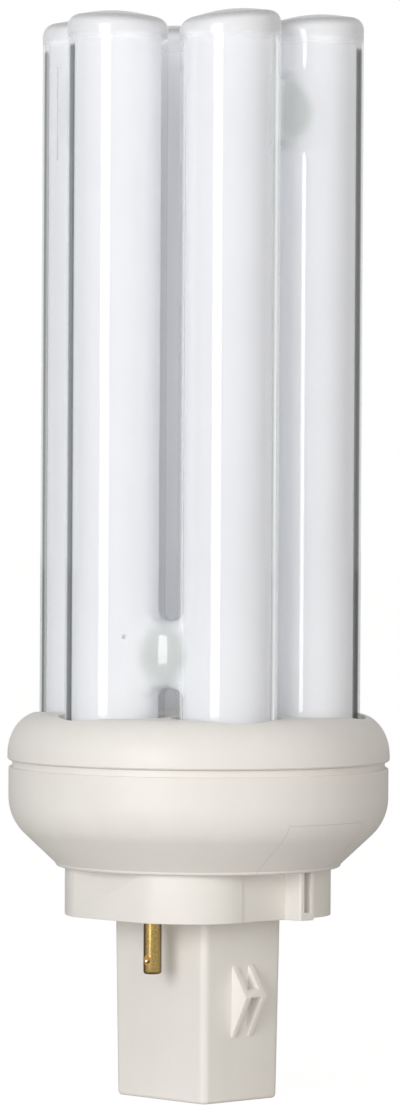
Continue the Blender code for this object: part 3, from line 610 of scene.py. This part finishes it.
# %% [markdown]
# ## Glass finishes
#
# The coating is matt white powder behind a glossy wall, so it gets a clear coat. Painted light
# makes it lighter at the foot, towards the collar, and it thins to a greenish grey round each
# neck, where the glass was reheated.
#
# The clear wall is seen only near a leg's edge, so its alpha follows the facing angle: first a
# band, then a paler halo at the very edge, whose colour is a painted reflection. How far a spot
# is from the lamp's axis gives the band its colour, a painted refraction of what lies around: it
# is dark on the outermost sides of the ring of legs, and pale between neighbouring legs, where a
# painted glow stands in for the light that the glass leads round.
# At the tips the wall carries powder of its own, greyer and grained on top.

# %% Glass finishes
GLASS_IOR = 1.5
THIN_FAR = 0.0064
THIN_NEAR = 0.0044
THIN_WANDER = 0.0012
FOOT_HEIGHT = 0.020
POWDER_COLOURS = ((0.618, 0.626, 0.650), (0.633, 0.641, 0.665))
# Painted light: the powder's colour at the foot, lighter towards the collar.
FOOT_PAINTED_LIGHT_COLOUR = (0.690, 0.700, 0.724)
THINNED_COLOURS = ((0.40, 0.43, 0.42), (0.45, 0.475, 0.465))
POWDER_GLOW = (0.36, 0.362, 0.366, 1.0)
COAT_FACING = (0.75, 0.50)
COAT_LEVELS = (0.15, 1.0)

# Distances from the lamp's axis, in metres, at which a mask starts and is full.
OUTSIDE_FROM_AXIS = (0.0190, 0.0203)
BETWEEN_FROM_AXIS = (0.0160, 0.0183)
FARTHEST_FROM_AXIS = (0.0205, 0.0208)
# Facing values, 0 in the middle of a leg and 1 at its edge.
BAND_START = (0.49, 0.54)
BAND_EARLY_START = (0.455, 0.495)
BAND_END = (0.80, 0.62)
HALO_START = (0.70, 0.84)
# Painted refraction: the band's colour, pale between legs and dark on the outermost sides.
PAINTED_PALE_REFRACTION = (0.90, 0.93, 0.94)
PAINTED_DARK_REFRACTION = (0.045, 0.060, 0.057)
# Painted reflection: the pale halo at the very edge.
PAINTED_HALO_REFLECTION = (0.86, 0.91, 0.92)
# Painted glow between legs, for the light that the glass leads round.
PAINTED_GLOW_COLOUR = (0.36, 0.38, 0.39)
# Each alpha is what a wall has anywhere, and what it gains between legs.
WALL_ALPHA = 0.015
BAND_ALPHA = (0.05, 0.75)
HALO_ALPHA = (0.12, 0.30)
TIP_ALPHA = 0.97
TIP_FADE = (TUBE_TOP - 0.0044, TUBE_TOP - 0.0026)
TIP_COLOUR_FADE = (TUBE_TOP - 0.0048, TUBE_TOP - 0.0042)
TIP_SIDE_COLOUR = (0.84, 0.85, 0.88)
TIP_TOP_COLOUR = (0.50, 0.51, 0.52)


def make_coating_finish():
    finish = new_finish("phosphor_white")
    point = finish.point()
    near_neck = None
    for place, _, _ in neck_places:
        distance = finish.vector("DISTANCE", point, tuple(place), output="Value")
        near_neck = distance if near_neck is None else near_neck.least(distance)
    cloud = finish.noise(140.0, 3.0)
    thin = (near_neck + THIN_WANDER * cloud).ramp(THIN_FAR, THIN_NEAR)
    # Painted light: the powder is made lighter towards the collar.
    foot = finish.parts(point)[2].ramp(COLLAR_TOP + FOOT_HEIGHT, COLLAR_TOP)
    powder = finish.blend(foot, finish.blend(cloud.ramp(0.3, 0.7), *POWDER_COLOURS), FOOT_PAINTED_LIGHT_COLOUR)
    thinned = finish.blend(cloud.ramp(0.35, 0.65), *THINNED_COLOURS)
    powder_shader = finish.principled({
        "Base Color": finish.blend(thin, powder, thinned), "Roughness": 0.75, "Specular IOR Level": 0.1,
        "Coat Weight": finish.facing().ramp(*COAT_FACING, *COAT_LEVELS),
        "Coat Roughness": 0.02, "Coat IOR": GLASS_IOR,
        "Normal": finish.bump(finish.noise(3000.0, 2.0), 0.00002, 0.3)})
    glow = finish.node("ShaderNodeBsdfTranslucent", values={"Color": POWDER_GLOW})
    return finish.surface(finish.node("ShaderNodeAddShader", values={0: powder_shader, 1: glow}))


def make_envelope_finish():
    finish = new_finish("clear_glass")
    point = finish.point()
    z = finish.parts(point)[2]
    level = finish.vector("MULTIPLY", point, (1.0, 1.0, 0.0))
    from_axis = finish.vector("LENGTH", level, output="Value")
    outside = from_axis.ramp(*OUTSIDE_FROM_AXIS)
    between = from_axis.ramp(*BETWEEN_FROM_AXIS)
    facing = finish.facing()
    early = facing.ramp(*BAND_EARLY_START) * from_axis.ramp(*FARTHEST_FROM_AXIS)
    band = facing.ramp(*BAND_START).most(early) * facing.ramp(*BAND_END)
    halo = facing.ramp(*HALO_START)
    tip = z.ramp(*TIP_FADE)
    upward = finish.parts(finish.node("ShaderNodeTexCoord", output="Normal"))[2]
    grain = finish.noise(5000.0, 1.0).ramp(0.35, 0.65, 0.6, 0.9)
    powder = finish.blend(upward.ramp(0.32, 0.90) * grain, TIP_SIDE_COLOUR, TIP_TOP_COLOUR)
    # The wall's colour is a painted refraction, with a painted reflection as the halo.
    wall = finish.blend(halo, finish.blend(outside, PAINTED_PALE_REFRACTION, PAINTED_DARK_REFRACTION), PAINTED_HALO_REFLECTION)
    band_alpha = band * (BAND_ALPHA[0] + BAND_ALPHA[1] * between)
    halo_alpha = halo * (HALO_ALPHA[0] + HALO_ALPHA[1] * between)
    alpha = (WALL_ALPHA + band_alpha + halo_alpha).most(tip * TIP_ALPHA)
    # A painted glow, in the emission, between neighbouring legs.
    painted_glow = between * (1.0 - outside) * (1.0 - tip)
    return finish.surface(finish.principled({
        "Base Color": finish.blend(z.ramp(*TIP_COLOUR_FADE), wall, powder), "Roughness": 0.03,
        "Alpha": alpha * finish.ray("Camera"), "IOR": GLASS_IOR,
        "Emission Color": finish.blend(painted_glow, (0.0, 0.0, 0.0), PAINTED_GLOW_COLOUR), "Emission Strength": 1.0}))


finished(envelope, make_envelope_finish(), ["discharge_tube"], GLASS_SHARP_DEGREES)
finished(coating, make_coating_finish(), ["discharge_tube"], GLASS_SHARP_DEGREES)

# %% [markdown]
# ## The collar
#
# The collar is a domed disc with a hanging lip that snaps over the cap. Each leg stands in a
# stepped hole, and the wider step leaves a small recess round the glass.

# %% Collar
LIP_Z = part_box("tube_collar")[0].z
COLLAR_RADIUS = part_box("tube_collar")[1].x
COLLAR_ROUND_WIDTH = 0.0041
COLLAR_PLATE = 0.0015
COLLAR_INSIDE_RISE = 0.0022
COLLAR_SHOULDER = 0.0007
COLLAR_INNER_ROUND = 0.0012
LIP_STRAIGHT = 0.0007
LIP_EDGE = 0.0002
LIP_WALL = 0.0009
HOLE_CLEARANCE = 0.0003
RECESS_CLEARANCE = 0.00075
RECESS_DEPTH = 0.0009
CAP_SEGMENTS = 180
PLASTIC_SHARP_DEGREES = 30.0


def make_collar():
    round_height = COLLAR_TOP - LIP_Z - LIP_STRAIGHT
    dome = arc((COLLAR_RADIUS - COLLAR_ROUND_WIDTH, COLLAR_TOP - round_height),
               (COLLAR_ROUND_WIDTH, round_height), 90.0, 0.0, 18)
    mouth = COLLAR_RADIUS - LIP_WALL
    under = COLLAR_TOP - COLLAR_PLATE
    shoulder_z = under - COLLAR_INSIDE_RISE
    inner_round = arc((mouth - COLLAR_SHOULDER - COLLAR_INNER_ROUND, under - COLLAR_INNER_ROUND),
                      (COLLAR_INNER_ROUND, COLLAR_INNER_ROUND), 0.0, 90.0, 4)
    profile = [
        (0.0, COLLAR_TOP), *dome, (COLLAR_RADIUS, LIP_Z + LIP_EDGE), (COLLAR_RADIUS - LIP_EDGE, LIP_Z),
        (mouth, LIP_Z), (mouth, shoulder_z), (mouth - COLLAR_SHOULDER, shoulder_z), *inner_round,
        (0.0, under),
    ]
    collar = as_object("domed_collar", spun(profile, CAP_SEGMENTS))
    step_z = COLLAR_TOP - RECESS_DEPTH
    recess = LEG_RADIUS + RECESS_CLEARANCE
    hole = LEG_RADIUS + HOLE_CLEARANCE
    above = COLLAR_TOP + COLLAR_PLATE
    below = under - COLLAR_PLATE
    drill = [(0.0, above), (recess, above), (recess, step_z),
             (hole, step_z), (hole, below), (0.0, below)]
    drills = [moved(spun(drill, GLASS_SEGMENTS), leg_place(number)) for number in range(LEG_COUNT)]
    return combine(collar, [("DIFFERENCE", bm) for bm in drills])


collar = make_collar()

# %% [markdown]
# ## The cap
#
# Bowl, skirt, post, key ribs and catch teeth are one moulding with thin walls. The edges
# that catch the light are rounded before the forms are joined, as a bevel after the joining
# would have to sort out many small faces.

# %% Cap sizes
SEAT_Z = 0.0233
BOWL_BOTTOM_Z = 0.0295
RIM_Z = LIP_Z - 0.0009
TONGUE_TOP_Z = RIM_Z + 0.0029
BOWL_RADIUS = 0.02425
BOWL_WALL = 0.0019
BOWL_SLOPE = 43.3
BOWL_BEND = 0.0065
BOWL_BEND_Z = RIM_Z - 0.00375
BOWL_BOTTOM_RADIUS = 0.01825
BOWL_BOTTOM_EDGE = 0.0004
BOWL_EDGE_START = -20.0
RIM_EDGE = 0.00008
TONGUE_RADIUS = 0.0234
TONGUE_LEAD_IN = 0.0003
GROOVE_RADIUS = 0.0238
GROOVE_GAP = 0.00005
SKIRT_RADIUS = 0.0170
SKIRT_EDGE = 0.0003
SKIRT_WALL = 0.0019
SEAT_FLOOR = 0.0018
PIN_FLAT = 0.0156
PIN_FLAT_FACET = 0.0009
KEY_FLAT = 0.0140
KEY_CORNER = 0.0085
KEY_PANEL_DEPTH = 0.0002
KEY_PANEL_HALF_WIDTH = 0.0057
RIB_Y = 0.0034
RIB_WIDTH = 0.0026
RIB_END = KEY_FLAT + 0.0025
RIB_EDGE = 0.0002
SLOT_DEPTH = 0.0016
SLOT_WIDTH = 0.0012
SLOT_WEB = 0.00095
POST_HALF = (0.0085, 0.0069)
POST_DRAFT = 0.0003
POST_WALL = 0.0013
POST_CORNER = 0.0010
POST_FOOT = 0.0005
POST_END_WALL = 0.0012
POST_HOLLOW_CORNER = 0.0005
TOOTH_BOTTOM = 0.0082
TOOTH_APEX = 0.0134
TOOTH_TOP = 0.0174
TOOTH_REACH = 0.0026
TOOTH_WIDTH = 0.0039
TOOTH_FIN = 0.00105
TOOTH_WEB = 0.0010
TOOTH_ROOT = 0.0006
TOOTH_EDGE = 0.00012
TOOTH_SHARP_ANGLE = 0.3
TOOTH_FACE_MARGIN = 0.00001
TOOTH_LEAST_REACH = 0.0003
CUT_MARGIN = 0.001
PIN_HOLE_CLEARANCE = 0.00015
PIN_RADIUS = 0.00115
PIN_PLACES = (Vector((0.0033, -0.0110, 0.0)), Vector((-0.0033, 0.0110, 0.0)))
PIN_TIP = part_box("contact_pin_1")[0].z
DIMPLE_RADIUS = 0.0007
DIMPLE_ABOVE_TIP = 0.0018
DIMPLE_SINK = 0.0003
DIMPLE_TURN = math.radians(9.0)


# %% Cap shapes
def bowl_profiles():
    """The bowl's outside, from the snap tongue down, and its hollow."""
    slope = math.radians(BOWL_SLOPE)
    rise = math.tan((math.pi / 2.0 - slope) / 2.0)
    tongue = [(0.0, TONGUE_TOP_Z), (TONGUE_RADIUS - TONGUE_LEAD_IN, TONGUE_TOP_Z),
              (TONGUE_RADIUS, TONGUE_TOP_Z - TONGUE_LEAD_IN), (TONGUE_RADIUS, LIP_Z - GROOVE_GAP)]
    groove = [(GROOVE_RADIUS, LIP_Z - GROOVE_GAP), (GROOVE_RADIUS, RIM_Z)]
    rim = [(BOWL_RADIUS - RIM_EDGE, RIM_Z), (BOWL_RADIUS, RIM_Z - RIM_EDGE)]
    bend = arc((BOWL_RADIUS - BOWL_BEND, BOWL_BEND_Z), (BOWL_BEND, BOWL_BEND),
               0.0, BOWL_SLOPE - 90.0, 16)
    bottom_edge = arc((BOWL_BOTTOM_RADIUS - BOWL_BOTTOM_EDGE, BOWL_BOTTOM_Z + BOWL_BOTTOM_EDGE),
                      (BOWL_BOTTOM_EDGE, BOWL_BOTTOM_EDGE), BOWL_EDGE_START, -90.0, 4)
    outer = [*tongue, *groove, *rim, *bend, (BOWL_BOTTOM_RADIUS, BOWL_BOTTOM_Z + BOWL_BOTTOM_EDGE),
             *bottom_edge, (0.0, BOWL_BOTTOM_Z)]
    inner_radius = BOWL_RADIUS - BOWL_WALL
    floor_z = BOWL_BOTTOM_Z + SEAT_FLOOR
    floor_radius = BOWL_BOTTOM_RADIUS - BOWL_WALL * math.sin(slope)
    inner_bend = BOWL_BEND - BOWL_WALL
    bend_z = floor_z + (inner_radius - floor_radius) * math.tan(slope) + inner_bend * rise
    hollow = [
        (0.0, TONGUE_TOP_Z + BOWL_WALL), (inner_radius, TONGUE_TOP_Z + BOWL_WALL),
        *arc((inner_radius - inner_bend, bend_z), (inner_bend, inner_bend), 0.0, BOWL_SLOPE - 90.0, 6),
        (floor_radius, floor_z), (0.0, floor_z),
    ]
    return outer, hollow


def skirt_outline(inset, with_keys):
    """The skirt's outline: one half, and the same half turned round."""
    radius = SKIRT_RADIUS - inset
    key_x = KEY_FLAT - inset
    pin_y = PIN_FLAT - inset
    corner = KEY_CORNER - inset
    corner_x = key_x - corner
    corner_y = math.sqrt((radius - corner)**2 - corner_x**2)
    corner_turn = math.degrees(math.atan2(corner_y, corner_x))
    pin_corner = math.degrees(math.asin(pin_y / radius))
    facet = math.degrees(PIN_FLAT_FACET / radius)
    flat_end = math.sqrt(radius**2 - pin_y**2) - PIN_FLAT_FACET / 2.0
    half = []
    if with_keys:
        panel_x = key_x - KEY_PANEL_DEPTH
        low = RIB_Y - RIB_WIDTH / 2.0
        high = RIB_Y + RIB_WIDTH / 2.0
        half += [
            (key_x, -KEY_PANEL_HALF_WIDTH), (panel_x, -KEY_PANEL_HALF_WIDTH), (panel_x, low),
            (RIB_END - RIB_EDGE, low), (RIB_END, low + RIB_EDGE), (RIB_END, high - RIB_EDGE),
            (RIB_END - RIB_EDGE, high), (panel_x, high), (panel_x, KEY_PANEL_HALF_WIDTH),
            (key_x, KEY_PANEL_HALF_WIDTH),
        ]
    half += arc((corner_x, corner_y), (corner, corner), 0.0, corner_turn, 16)
    half += arc((0.0, 0.0), (radius, radius), corner_turn, pin_corner - facet, 6)[1:]
    half += [(flat_end, pin_y), (-flat_end, pin_y)]
    half += arc((0.0, 0.0), (radius, radius), 180.0 - pin_corner + facet, 180.0 - corner_turn, 6)
    half += arc((-corner_x, corner_y), (corner, corner), 180.0 - corner_turn, 180.0, 16)[1:]
    return half + [(-x, -y) for x, y in half]


def flat_edges(bm, height):
    return [edge for edge in bm.edges
            if all(abs(vert.co.z - height) < SAME_POINT for vert in edge.verts)]


def skirt_shape():
    bm = extruded(skirt_outline(0.0, True), SEAT_Z, BOWL_BOTTOM_Z + SEAT_FLOOR / 2.0)
    return rounded(bm, flat_edges(bm, SEAT_Z), SKIRT_EDGE, 3)


def skirt_hollow():
    outline = skirt_outline(SKIRT_WALL, False)
    return extruded(outline, SEAT_Z + SEAT_FLOOR, BOWL_BOTTOM_Z + SEAT_FLOOR * 1.5)


def post_half(height, inset):
    shrink = POST_DRAFT * (1.0 - height / SEAT_Z) + inset
    return POST_HALF[0] - shrink, POST_HALF[1] - shrink


def tapered_box(low, high, inset, corner, foot):
    """A box that narrows downwards, with rounded uprights and foot."""
    bm = bmesh.new()
    bmesh.ops.create_cube(bm, size=2.0)
    for vert in bm.verts:
        height = high if vert.co.z > 0.0 else low
        half = post_half(height, inset)
        vert.co = Vector((vert.co.x * half[0], vert.co.y * half[1], height))
    uprights = [edge for edge in bm.edges if abs(edge.verts[0].co.z - edge.verts[1].co.z) > SAME_POINT]
    rounded(bm, uprights, corner, 8)
    if foot > 0.0:
        rounded(bm, flat_edges(bm, low), foot, 5)
    return bm


def tooth_shape():
    """One catch tooth, cored out to two fins and a web, with its edges softened."""
    face_x = post_half(TOOTH_APEX, 0.0)[0]
    root_x = face_x - TOOTH_ROOT
    outline = [(root_x, TOOTH_BOTTOM), (face_x, TOOTH_BOTTOM), (face_x + TOOTH_REACH, TOOTH_APEX),
               (face_x, TOOTH_TOP), (root_x, TOOTH_TOP)]
    bm = extruded(outline, -TOOTH_WIDTH / 2.0, TOOTH_WIDTH / 2.0)
    bmesh.ops.rotate(bm, matrix=Matrix.Rotation(math.pi / 2.0, 3, "X"), verts=bm.verts)
    tooth = as_object("tooth", bm)
    pocket = (2.0 * (TOOTH_REACH + CUT_MARGIN), TOOTH_WIDTH - 2.0 * TOOTH_FIN)
    spans = ((TOOTH_BOTTOM - CUT_MARGIN, TOOTH_APEX), (TOOTH_APEX + TOOTH_WEB, TOOTH_TOP + CUT_MARGIN))
    pockets = [block((*pocket, high - low), (face_x, 0.0, (low + high) / 2.0)) for low, high in spans]
    combine(tooth, [("DIFFERENCE", cutter) for cutter in pockets])
    bm = bmesh.new()
    bm.from_mesh(tooth.data)
    bmesh.ops.remove_doubles(bm, verts=bm.verts, dist=WELD_DISTANCE)
    edges = [edge for edge in bm.edges
             if edge.is_convex and len(edge.link_faces) == 2
             and edge.calc_face_angle() > TOOTH_SHARP_ANGLE
             and min(vert.co.x for vert in edge.verts) > face_x - TOOTH_FACE_MARGIN
             and max(vert.co.x for vert in edge.verts) > face_x + TOOTH_LEAST_REACH]
    rounded(bm, edges, TOOTH_EDGE, 2)
    bpy.data.objects.remove(tooth)
    return bm


def make_cap():
    outer, hollow = bowl_profiles()
    cap = as_object("moulded_cap", spun(outer, CAP_SEGMENTS))
    floor_top = SEAT_Z + SEAT_FLOOR
    joined = [skirt_shape(), tapered_box(0.0, floor_top - SEAT_FLOOR / 2.0, 0.0, POST_CORNER, POST_FOOT)]
    joined += [moved(tooth_shape(), turn=turn) for turn in (0.0, math.pi)]
    cut = [spun(hollow, CAP_SEGMENTS), skirt_hollow(),
           tapered_box(POST_END_WALL, floor_top + SEAT_FLOOR / 2.0, POST_WALL, POST_HOLLOW_CORNER, 0.0)]
    slot_low = SEAT_Z + SLOT_WEB
    slot_size = (2.0 * SLOT_DEPTH, SLOT_WIDTH, BOWL_BOTTOM_Z - slot_low)
    slot_middle = (RIB_END, RIB_Y, (slot_low + BOWL_BOTTOM_Z) / 2.0)
    cut += [moved(block(slot_size, slot_middle), turn=turn) for turn in (0.0, math.pi)]
    hole_radius = PIN_RADIUS + PIN_HOLE_CLEARANCE
    hole_top = floor_top + SEAT_FLOOR
    hole_bottom = SEAT_Z - SEAT_FLOOR
    hole = [(0.0, hole_top), (hole_radius, hole_top), (hole_radius, hole_bottom), (0.0, hole_bottom)]
    cut += [moved(spun(hole, 48), place) for place in PIN_PLACES]
    return combine(cap, [("UNION", bm) for bm in joined] + [("DIFFERENCE", bm) for bm in cut])


cap = make_cap()

# %% [markdown]
# ## The plastic
#
# Moulded thermoplastic in a warm off-white, with a fine satin surface. It has a barely
# visible mottle, streaks along the flow of the melt, and the witness line of a mould insert on
# the side of the bowl that faces +X.

# %% Plastic finish
WITNESS_HALF_WIDTH = 0.0066
WITNESS_MIDDLE = 0.0004
WITNESS_TOP = 0.0359
WITNESS_LINE = 0.00004
WITNESS_FADE = 0.00001
WITNESS_SIDE = (0.010, 0.011)
WITNESS_BOTTOM = (BOWL_BOTTOM_Z - 0.0001, BOWL_BOTTOM_Z)
WITNESS_SHADE = (0.50, 0.46, 0.40)
PLASTIC_IOR = 1.47
PLASTIC_COLOURS = ((0.845, 0.818, 0.772), (0.868, 0.843, 0.802))


def witness_line(x, y, z):
    """1 on the outline of the mould insert, which is open at the bottom of the bowl."""
    across = abs(y - WITNESS_MIDDLE)
    on_upright = abs(across - WITNESS_HALF_WIDTH).ramp(WITNESS_LINE * 2.0, WITNESS_LINE)
    below_top = z.ramp(WITNESS_TOP + WITNESS_FADE, WITNESS_TOP)
    on_top = abs(z - WITNESS_TOP).ramp(WITNESS_LINE * 2.0, WITNESS_LINE)
    between_uprights = across.ramp(WITNESS_HALF_WIDTH + WITNESS_FADE, WITNESS_HALF_WIDTH)
    on_bowl = x.ramp(*WITNESS_SIDE) * z.ramp(*WITNESS_BOTTOM)
    return (on_upright * below_top).most(on_top * between_uprights) * on_bowl


def make_plastic_finish(name, with_witness):
    finish = new_finish(name)
    mottle = finish.noise(90.0, 3.0)
    grain = finish.noise(1500.0, 2.0)
    flow = finish.streaks((420.0, 420.0, 18.0), 2.0)
    shade = 0.6 * mottle + 0.25 * flow + 0.15 * grain
    colour = finish.blend(shade.ramp(0.35, 0.65), *PLASTIC_COLOURS)
    height = grain * 0.6 + flow * 0.4
    if with_witness:
        line = witness_line(*finish.parts(finish.point()))
        colour = finish.blend(line * 0.35, colour, WITNESS_SHADE)
        height = height - line * 1.5
    return finish.surface(finish.principled({
        "Base Color": colour, "Roughness": 0.40 + 0.08 * mottle, "IOR": PLASTIC_IOR,
        "Normal": finish.bump(height, 0.000012, 0.5)}))


collar_finish = make_plastic_finish("collar_plastic", False)
cap_finish = make_plastic_finish("cap_plastic", True)
finished(collar, collar_finish, ["tube_collar"], PLASTIC_SHARP_DEGREES)
finished(cap, cap_finish, ["cap_body"], PLASTIC_SHARP_DEGREES)

# %% [markdown]
# ## The contact pins
#
# Each pin is a brass rivet: a thin tail and a flange inside the cap, a straight barrel, a
# rounded tip and a crimp dimple near it. Brass is a metal, so its colour is the colour of its
# reflections. Fine drawn scratches run along it and tiny specks dull it. A painted reflection of
# dark surroundings darkens the finish towards the edges; it is also darker at the tip, and copper
# coloured in the dimple.

# %% Contact pins
PIN_TAIL_RADIUS = 0.0008
PIN_FLANGE_RADIUS = 0.0020
PIN_FLANGE_THICKNESS = 0.0008
PIN_FLANGE_GAP = 0.0003
PIN_TIP_EDGE = 0.00035
PIN_TIP_CHAMFER = 0.0005
BRASS_BRIGHT = (0.88, 0.66, 0.26)
BRASS_DULL = (0.64, 0.43, 0.13)
BRASS_DARK = (0.16, 0.10, 0.04)
DIMPLE_COPPER = (1.0, 0.60, 0.22)
# Facing values over which a painted reflection darkens the brass towards its edges.
BRASS_PAINTED_REFLECTION_FACING = (0.18, 0.50)
BRASS_DARK_TIP = (PIN_TIP + 0.0005, PIN_TIP + 0.0001)
BRASS_SHARP_DEGREES = 32.0


def dimple_centre(place):
    """The crimp dimple is on the side away from the post."""
    side = math.copysign(1.0, -place.y)
    outward = level_direction(DIMPLE_TURN) * side
    height = Vector((0.0, 0.0, PIN_TIP + DIMPLE_ABOVE_TIP))
    return place + outward * (PIN_RADIUS + DIMPLE_RADIUS - DIMPLE_SINK) + height


def make_pin(number, place):
    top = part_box(f"contact_pin_{number}")[1].z
    flange = SEAT_Z + SEAT_FLOOR + PIN_FLANGE_GAP
    flange_top = flange + PIN_FLANGE_THICKNESS
    tip_edge = arc((PIN_RADIUS - PIN_TIP_EDGE, PIN_TIP + PIN_TIP_EDGE), (PIN_TIP_EDGE, PIN_TIP_EDGE),
                   0.0, -70.0, 5)
    profile = [
        (0.0, top), (PIN_TAIL_RADIUS, top), (PIN_TAIL_RADIUS, flange_top),
        (PIN_FLANGE_RADIUS, flange_top), (PIN_FLANGE_RADIUS, flange), (PIN_RADIUS, flange),
        *tip_edge, (PIN_RADIUS - PIN_TIP_CHAMFER, PIN_TIP), (0.0, PIN_TIP),
    ]
    pin = as_object(f"brass_pin_{number}", moved(spun(profile, 64), place))
    bm = bmesh.new()
    bmesh.ops.create_uvsphere(bm, u_segments=32, v_segments=24, radius=DIMPLE_RADIUS)
    bmesh.ops.translate(bm, vec=dimple_centre(place), verts=bm.verts)
    return combine(pin, [("DIFFERENCE", bm)])


def make_brass_finish():
    finish = new_finish("drawn_brass")
    point = finish.point()
    speck = finish.noise(5200.0, 2.0)
    drawn = finish.streaks((9000.0, 9000.0, 500.0), 2.0)
    colour = finish.blend(speck.ramp(0.35, 0.7), BRASS_BRIGHT, BRASS_DULL)
    # Painted reflection: the colour goes dark towards the edges.
    colour = finish.blend(finish.facing().ramp(*BRASS_PAINTED_REFLECTION_FACING), colour, BRASS_DARK)
    z = finish.parts(point)[2]
    colour = finish.blend(z.ramp(*BRASS_DARK_TIP), colour, BRASS_DARK)
    from_dimples = [finish.vector("DISTANCE", point, tuple(dimple_centre(place)), output="Value")
                    for place in PIN_PLACES]
    in_dimple = from_dimples[0].least(from_dimples[1]).ramp(DIMPLE_RADIUS * 1.15, DIMPLE_RADIUS * 1.05)
    colour = finish.blend(in_dimple, colour, DIMPLE_COPPER)
    return finish.surface(finish.principled({
        "Base Color": colour, "Metallic": 1.0, "Roughness": 0.12 + 0.12 * speck.ramp(0.4, 0.7),
        "Normal": finish.bump(drawn, 0.000010, 0.2)}))


brass = make_brass_finish()
for number, place in enumerate(PIN_PLACES, start=1):
    pin = make_pin(number, place)
    finished(pin, brass, [f"contact_pin_{number}"], BRASS_SHARP_DEGREES)

# %% [markdown]
# ## Inside the cap
#
# The cement, the starter, its capacitor and the wires are hidden in the closed cap. Their
# solids have the right shape, so they stay, and only get better finishes. Wires, leads and
# crimp sleeves are all tinned copper.

# %% Inner finishes
def plain_finish(name, first, second, scale, roughness, metallic=0.0, coat=0.0, bump=0.00002):
    """Two close colours in a noise pattern, with a little relief."""
    finish = new_finish(name)
    pattern = finish.noise(scale, 3.0)
    return finish.surface(finish.principled({
        "Base Color": finish.blend(pattern.ramp(0.35, 0.65), first, second),
        "Roughness": roughness + 0.1 * pattern, "Metallic": metallic, "Coat Weight": coat,
        "Normal": finish.bump(pattern, bump, 0.6)}))


inner_finishes = {
    "tube_cement": plain_finish(
        "cement_white", (0.66, 0.65, 0.61), (0.76, 0.75, 0.72), 900.0, 0.8, bump=0.0001),
    "starter_bulb": plain_finish(
        "starter_glass_grey", (0.52, 0.56, 0.56), (0.66, 0.70, 0.70), 260.0, 0.05, coat=1.0),
    "starter_capacitor": plain_finish(
        "resin_red", (0.50, 0.13, 0.07), (0.60, 0.19, 0.10), 320.0, 0.28, coat=0.6),
    "wire_sleeve": plain_finish(
        "woven_fibre", (0.70, 0.68, 0.62), (0.84, 0.83, 0.79), 4200.0, 0.75, bump=0.0001),
    "wire": plain_finish(
        "tinned_copper", (0.60, 0.60, 0.59), (0.74, 0.74, 0.73), 2400.0, 0.25, metallic=1.0),
}
for name, node in nodes.items():
    if not node.hide_render:
        found = next((finish for start, finish in inner_finishes.items() if name.startswith(start)),
                     inner_finishes["wire"])
        node.data.materials.clear()
        node.data.materials.append(found)
